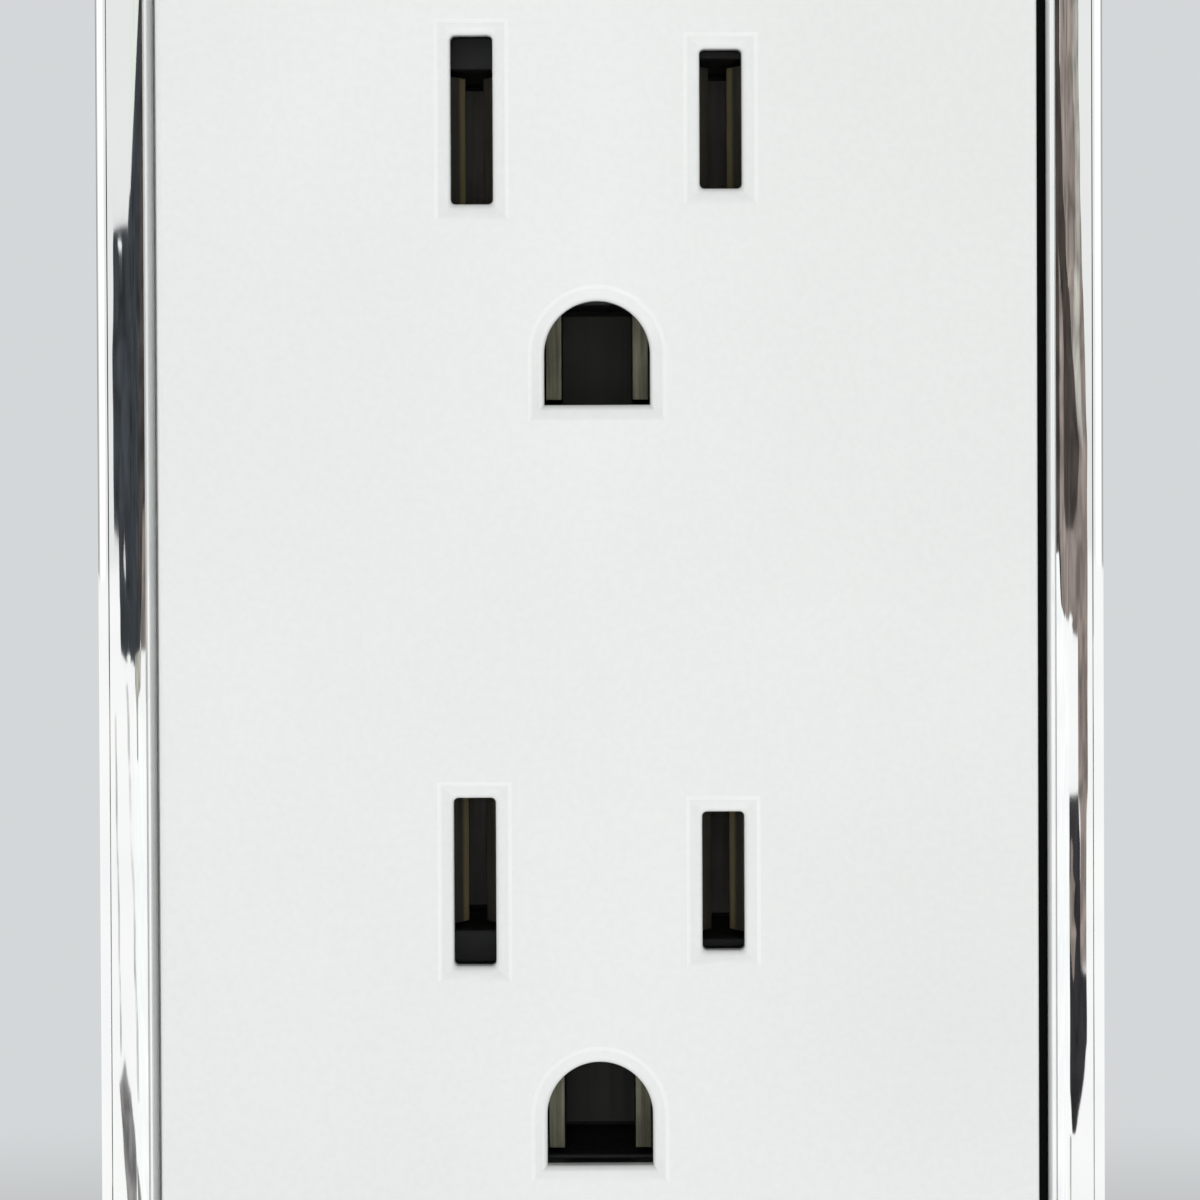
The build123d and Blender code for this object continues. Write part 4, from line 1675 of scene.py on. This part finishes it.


# Tones of the glowing cards, which paint reflections into the chrome.
NAVY = (0.041, 0.047, 0.054)
BLACK = (0.032, 0.03, 0.034)
DARK_BROWN = (0.06, 0.05, 0.046)
BROWN = (0.27, 0.225, 0.205)
LIGHT_BROWN = (0.4, 0.39, 0.355)
GREY = (0.235, 0.228, 0.228)
PALE_GREY = (0.66, 0.66, 0.65)
PALE = (0.77, 0.8, 0.76)
WHITE = (0.95, 0.97, 0.97)
CARDS = (
    Card(
        "left_block", Rail.LEFT, NAVY,
        ((36.0, 0.95, 1.0), (30.7, 0.915, 1.0), (27.6, 0.825, 1.0), (23.0, 0.7, 1.0), (19.1, 0.58, 1.0),
         (18.8, 0.18, 1.0), (12.8, 0.13, 1.0), (6.2, 0.136, 0.95), (3.7, 0.14, 0.92), (3.3, 0.275, 0.91),
         (0.0, 0.29, 0.89), (-1.6, 0.325, 0.85), (-2.3, 0.46, 0.83), (-2.6, 0.67, 0.83)),
    ),
    Card(
        "left_block_edge", Rail.LEFT, DARK_BROWN,
        ((36.0, 0.97, 1.0), (18.8, 0.9, 1.0), (6.2, 0.84, 0.95), (0.0, 0.8, 0.89)), layer=1,
    ),
    Card(
        "left_glint", Rail.LEFT, WHITE, ((18.1, 0.33, 0.37), (17.8, 0.29, 0.43), (17.4, 0.34, 0.4)),
        layer=1, mottle=0.0,
    ),
    Card(
        "left_crescent", Rail.LEFT, PALE_GREY, ((3.2, 0.42, 0.44), (2.1, 0.4, 0.46), (0.9, 0.44, 0.47)),
        layer=1,
    ),
    Card(
        "left_dots", Rail.LEFT, WHITE,
        ((-1.7, 0.52, 0.55), (-2.0, 0.46, 0.6), (-2.3, 0.52, 0.56), (-2.5, 0.48, 0.62), (-2.7, 0.5, 0.58)),
        layer=1, mottle=0.0,
    ),
    Card(
        "left_upper_screen", Rail.LEFT, PALE,
        ((36.0, 0.66, 0.95), (30.7, 0.66, 0.915), (27.6, 0.66, 0.825), (22.0, 0.66, 0.68)), mottle=0.05,
    ),
    Card("left_lower_screen", Rail.LEFT, WHITE, ((-5.4, 0.66, 1.0), (-36.0, 0.66, 1.0)), mottle=0.05),
    Card(
        "left_strip", Rail.LEFT, LIGHT_BROWN,
        ((-1.8, 0.7, 0.87), (-4.2, 0.7, 0.86), (-5.4, 0.72, 0.78), (-8.0, 0.74, 0.77)), layer=1,
    ),
    Card(
        "left_inner_line", Rail.LEFT, PALE_GREY,
        ((-4.2, 0.44, 0.5), (-14.0, 0.58, 0.64), (-25.0, 0.7, 0.76)), layer=1,
    ),
    Card(
        "left_outer_line", Rail.LEFT, PALE_GREY,
        ((-6.8, 0.13, 0.18), (-15.3, 0.18, 0.23), (-23.0, 0.235, 0.28)), layer=1,
    ),
    Card(
        "left_foot", Rail.LEFT, GREY,
        ((-23.4, 0.34, 0.38), (-24.4, 0.2, 0.52), (-26.4, 0.245, 0.567), (-30.6, 0.39, 0.77),
         (-36.0, 0.5, 0.95)), layer=2,
    ),
    Card(
        "right_body", Rail.RIGHT, BROWN,
        ((36.0, 0.38, 0.86), (27.6, 0.363, 0.86), (20.5, 0.315, 0.9), (12.8, 0.215, 1.0), (7.7, 0.14, 1.0),
         (0.0, 0.145, 0.85), (-1.6, 0.15, 0.6), (-1.9, 0.15, 0.42), (-10.3, 0.15, 0.42), (-12.0, 0.19, 0.36),
         (-19.4, 0.19, 0.36)),
    ),
    Card(
        "right_streak", Rail.RIGHT, DARK_BROWN,
        ((36.0, 0.88, 1.0), (27.6, 0.87, 1.0), (20.5, 0.78, 0.97), (12.8, 0.56, 0.78), (7.7, 0.36, 0.8),
         (5.0, 0.42, 0.78), (3.5, 0.55, 0.74)), layer=1,
    ),
    Card(
        "right_inner_line", Rail.RIGHT, DARK_BROWN,
        ((20.5, 0.92, 1.0), (12.8, 0.9, 1.0), (5.0, 0.9, 1.0), (2.0, 0.93, 1.0)), layer=2,
    ),
    Card(
        "right_glint", Rail.RIGHT, LIGHT_BROWN,
        ((36.0, 0.37, 0.52), (27.6, 0.37, 0.52), (20.5, 0.33, 0.44), (12.8, 0.36, 0.54), (9.0, 0.28, 0.4),
         (7.7, 0.26, 0.3)), layer=2,
    ),
    Card(
        "right_foot", Rail.RIGHT, BLACK,
        ((-10.3, 0.42, 0.66), (-13.8, 0.36, 0.66), (-19.4, 0.36, 0.65), (-19.6, 0.19, 0.65),
         (-22.5, 0.19, 0.65), (-25.5, 0.36, 0.66), (-27.5, 0.52, 0.6)),
    ),
    Card(
        "right_patch", Rail.RIGHT, BROWN,
        ((-13.0, 0.6, 0.62), (-13.8, 0.5, 0.66), (-15.6, 0.54, 0.66), (-17.2, 0.46, 0.65), (-18.8, 0.5, 0.63),
         (-20.1, 0.54, 0.56)), layer=1,
    ),
    Card(
        "right_lower_screen", Rail.RIGHT, WHITE,
        ((2.5, 0.95, 1.0), (0.0, 0.87, 1.0), (-1.7, 0.66, 1.0), (-36.0, 0.66, 1.0)), mottle=0.05,
    ),
    Card(
        "right_dots", Rail.RIGHT, WHITE,
        ((-0.4, 0.6, 0.64), (-0.8, 0.55, 0.7), (-1.1, 0.59, 0.66), (-1.5, 0.55, 0.7), (-1.8, 0.6, 0.64)),
        layer=1, mottle=0.0,
    ),
    Card("right_tail", Rail.RIGHT, LIGHT_BROWN, ((-27.6, 0.63, 0.68), (-36.0, 0.63, 0.68))),
)


@dataclass(frozen=True)
class Lamp:
    """A soft square lamp that looks at the socket and isn't mirrored in it."""

    name: str
    place: Point
    size: float
    power: float

    def build(self) -> None:
        """Adds the lamp."""
        data = bpy.data.lights.new(self.name, "AREA")
        data.size = self.size
        data.energy = self.power
        lamp = bpy.data.objects.new(self.name, data)
        bpy.context.collection.objects.link(lamp)
        lamp.location = self.place
        lamp.visible_glossy = False
        lamp.rotation_euler = (-Vector(self.place)).to_track_quat("-Z", "Y").to_euler()


@dataclass(frozen=True)
class Studio:
    """A plain pale floor, soft light from all sides and the glowing cards that paint reflections into the
    chrome.
    """

    floor_radius: float = 2.5
    floor_sides: int = 96
    floor_level: float = -47.3
    floor_colour: Colour = (0.78, 0.8, 0.81)
    floor_roughness: Pair = (0.7, 0.8)
    floor_glow: float = 1.15
    # In reflections the floor is darker near the socket: a painted shadow.
    mirrored_floor: Pair = (0.4, 1.05)
    mirrored_reach: Pair = (0.05, 0.13)
    backdrop_colour: Colour = (0.66, 0.68, 0.69)
    fade: Pair = (0.08, 0.2)
    light_colour: Colour = (0.99, 1.0, 0.995)
    daylight: float = 0.77
    ring_light: float = 1.75
    ring_span: Pair = (0.3, 0.6)
    overhead: float = 0.35
    overhead_span: Pair = (0.15, 0.7)
    mirrored_front: float = 0.9
    mirrored_ring: float = 1.25
    mirrored_back: float = 0.4
    back_span: Pair = (0.2, 0.8)
    mirrored_above: float = 0.4
    above_span: Pair = (0.16, 0.5)
    lamps: tuple[Lamp, ...] = (
        Lamp("key_light", (0.6, -1.0, 0.5), 0.9, 0.7),
        Lamp("back_light", (0.7, 1.0, 0.8), 0.9, 0.7),
        Lamp("front_light", (0.0, -0.5, 0.02), 0.12, 0.25),
    )

    def build(self, frame: TrimFrame, camera: PhotoCamera) -> None:
        """Sets up the stage, its lights and the camera.

        Args:
            frame: The trim frame.
            camera: The camera.
        """
        self._floor()
        self._world()
        for lamp in self.lamps:
            lamp.build()
        for card in CARDS:
            card.build(frame, camera.eye)
        camera.build()

    def _floor(self) -> None:
        """Lays the floor, which fades into the backdrop's tone and lights the socket softly from below; in
        reflections it is darker near the socket, a painted shadow.
        """
        bpy.ops.object.select_all(action="DESELECT")
        bpy.ops.mesh.primitive_circle_add(
            vertices=self.floor_sides,
            radius=self.floor_radius,
            fill_type="NGON",
            location=mm(0, 0, self.floor_level),
        )
        floor = bpy.context.object
        floor.name = "floor"
        colour = self.floor_colour
        material = Finish("floor_paint", colour, colour, self.floor_roughness, edge=0.0).material()
        nodes = material.node_tree.nodes
        sketch = NodeSketch(material.node_tree)
        place = sketch.add("TexCoord", -4, -3)
        reach = sketch.add("VectorMath", -3, -3, operation="LENGTH")
        fade = sketch.ramp(-2, -3, self.fade)
        plain = sketch.add("Emission", 0, -3, {"Color": opaque(self.backdrop_colour)})
        shown = sketch.add("MixShader", 2, 0)
        path = sketch.add("LightPath", 1, 3)
        strength = sketch.add("MapRange", 2, 3, {"To Min": self.floor_glow})
        # Painted shadow: darker near the socket, seen only in reflections.
        mirrored = sketch.ramp(-2, 4, self.mirrored_reach, self.mirrored_floor)
        glow = sketch.add("Emission", 2, -3)
        choice = sketch.add("MixShader", 3, 0)
        sketch.link(place.outputs["Object"], reach.inputs[0])
        sketch.link(reach.outputs["Value"], fade.inputs["Value"], mirrored.inputs["Value"])
        sketch.link(mirrored.outputs["Result"], strength.inputs["To Max"])
        sketch.link(fade.outputs["Result"], shown.inputs[0])
        sketch.link(nodes["Principled BSDF"].outputs[0], shown.inputs[1])
        sketch.link(plain.outputs[0], shown.inputs[2])
        sketch.link(path.outputs["Is Glossy Ray"], strength.inputs["Value"])
        sketch.link(strength.outputs["Result"], glow.inputs["Strength"])
        sketch.link(path.outputs["Is Camera Ray"], choice.inputs[0])
        sketch.link(glow.outputs[0], choice.inputs[1])
        sketch.link(shown.outputs[0], choice.inputs[2])
        sketch.link(choice.outputs[0], nodes["Material Output"].inputs["Surface"])
        floor.data.materials.append(material)

    def _world(self) -> None:
        """Gives daylight, brightest round the socket's edge and weak overhead, and a plain tone behind."""
        world = bpy.data.worlds.new("studio")
        world.use_nodes = True
        bpy.context.scene.world = world
        sketch = NodeSketch(world.node_tree)
        place = sketch.add("TexCoord", -5, 0)
        parts = sketch.add("SeparateXYZ", -4, 0)
        slant = sketch.add("Math", -3, 0, operation="ABSOLUTE")
        ring = sketch.ramp(-2, 1, self.ring_span, (self.ring_light, self.daylight))
        above = sketch.ramp(-2, 2, self.overhead_span, (1.0, self.overhead))
        mirrored = sketch.ramp(-2, 3, self.ring_span, (self.mirrored_ring, self.mirrored_front))
        behind = sketch.ramp(-2, 4, self.back_span, (1.0, self.mirrored_back))
        high = sketch.ramp(-2, 5, self.above_span, (1.0, self.mirrored_above))
        lit = sketch.add("Math", -1, 1, operation="MULTIPLY")
        dimmed = sketch.add("Math", -1, 4, operation="MULTIPLY")
        shown = sketch.add("Math", -1, 3, operation="MULTIPLY")
        level = sketch.add("Mix", 0, 1)
        light = world.node_tree.nodes["Background"]
        light.inputs["Color"].default_value = opaque(self.light_colour)
        plain = sketch.add("Background", 0, -1, {"Color": opaque(self.backdrop_colour)})
        choice = sketch.add("MixShader", 2, 0)
        path = sketch.add("LightPath", 0, 2)
        sketch.link(place.outputs["Generated"], parts.inputs[0])
        sketch.link(parts.outputs["Y"], slant.inputs[0], behind.inputs["Value"])
        sketch.link(parts.outputs["Z"], above.inputs["Value"], high.inputs["Value"])
        sketch.link(slant.outputs[0], ring.inputs["Value"], mirrored.inputs["Value"])
        sketch.link(ring.outputs["Result"], lit.inputs[0])
        sketch.link(above.outputs["Result"], lit.inputs[1])
        sketch.link(behind.outputs["Result"], dimmed.inputs[0])
        sketch.link(high.outputs["Result"], dimmed.inputs[1])
        sketch.link(mirrored.outputs["Result"], shown.inputs[0])
        sketch.link(dimmed.outputs[0], shown.inputs[1])
        sketch.link(path.outputs["Is Glossy Ray"], level.inputs["Factor"])
        sketch.link(lit.outputs[0], level.inputs["A"])
        sketch.link(shown.outputs[0], level.inputs["B"])
        sketch.link(level.outputs["Result"], light.inputs["Strength"])
        sketch.link(path.outputs["Is Camera Ray"], choice.inputs[0])
        sketch.link(light.outputs[0], choice.inputs[1])
        sketch.link(plain.outputs[0], choice.inputs[2])
        sketch.link(choice.outputs[0], world.node_tree.nodes["World Output"].inputs["Surface"])


def main() -> None:
    """Builds the finer pieces, dresses the CAD nodes and sets up the studio."""
    logging.basicConfig(level=logging.INFO, format="%(message)s")
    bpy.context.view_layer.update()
    finishes = Finishes()
    frame = TrimFrame()
    # The frame's rebate takes painted shade on the right and the face's white, as painted light, on the left.
    frame.build(finishes.chrome, finishes.painted_gap_shade, finishes.white)
    FaceCover().build(finishes.white, finishes.bright_edge)
    Fasteners().build(finishes)
    finishes.black.dress_nodes("contact_cover")
    finishes.housing.dress_nodes("rear_body")
    finishes.zinc.dress_nodes("yoke", "earth_clamp")
    # The contacts' finishes paint shade and a highlight into the slots.
    finishes.pole.dress_nodes("neutral_contact", "hot_contact")
    finishes.contact.dress_nodes("earth_contact", "earth_rivet")
    finishes.nickel.dress_nodes("neutral_clamp_upper", "neutral_clamp_lower")
    finishes.brass.dress_nodes("hot_clamp_upper", "hot_clamp_lower")
    finishes.fibre.dress_nodes("screw_retainers")
    Studio().build(frame, PhotoCamera())
    bpy.context.scene.view_settings.view_transform = "Standard"


if __name__ == "__main__":
    main()
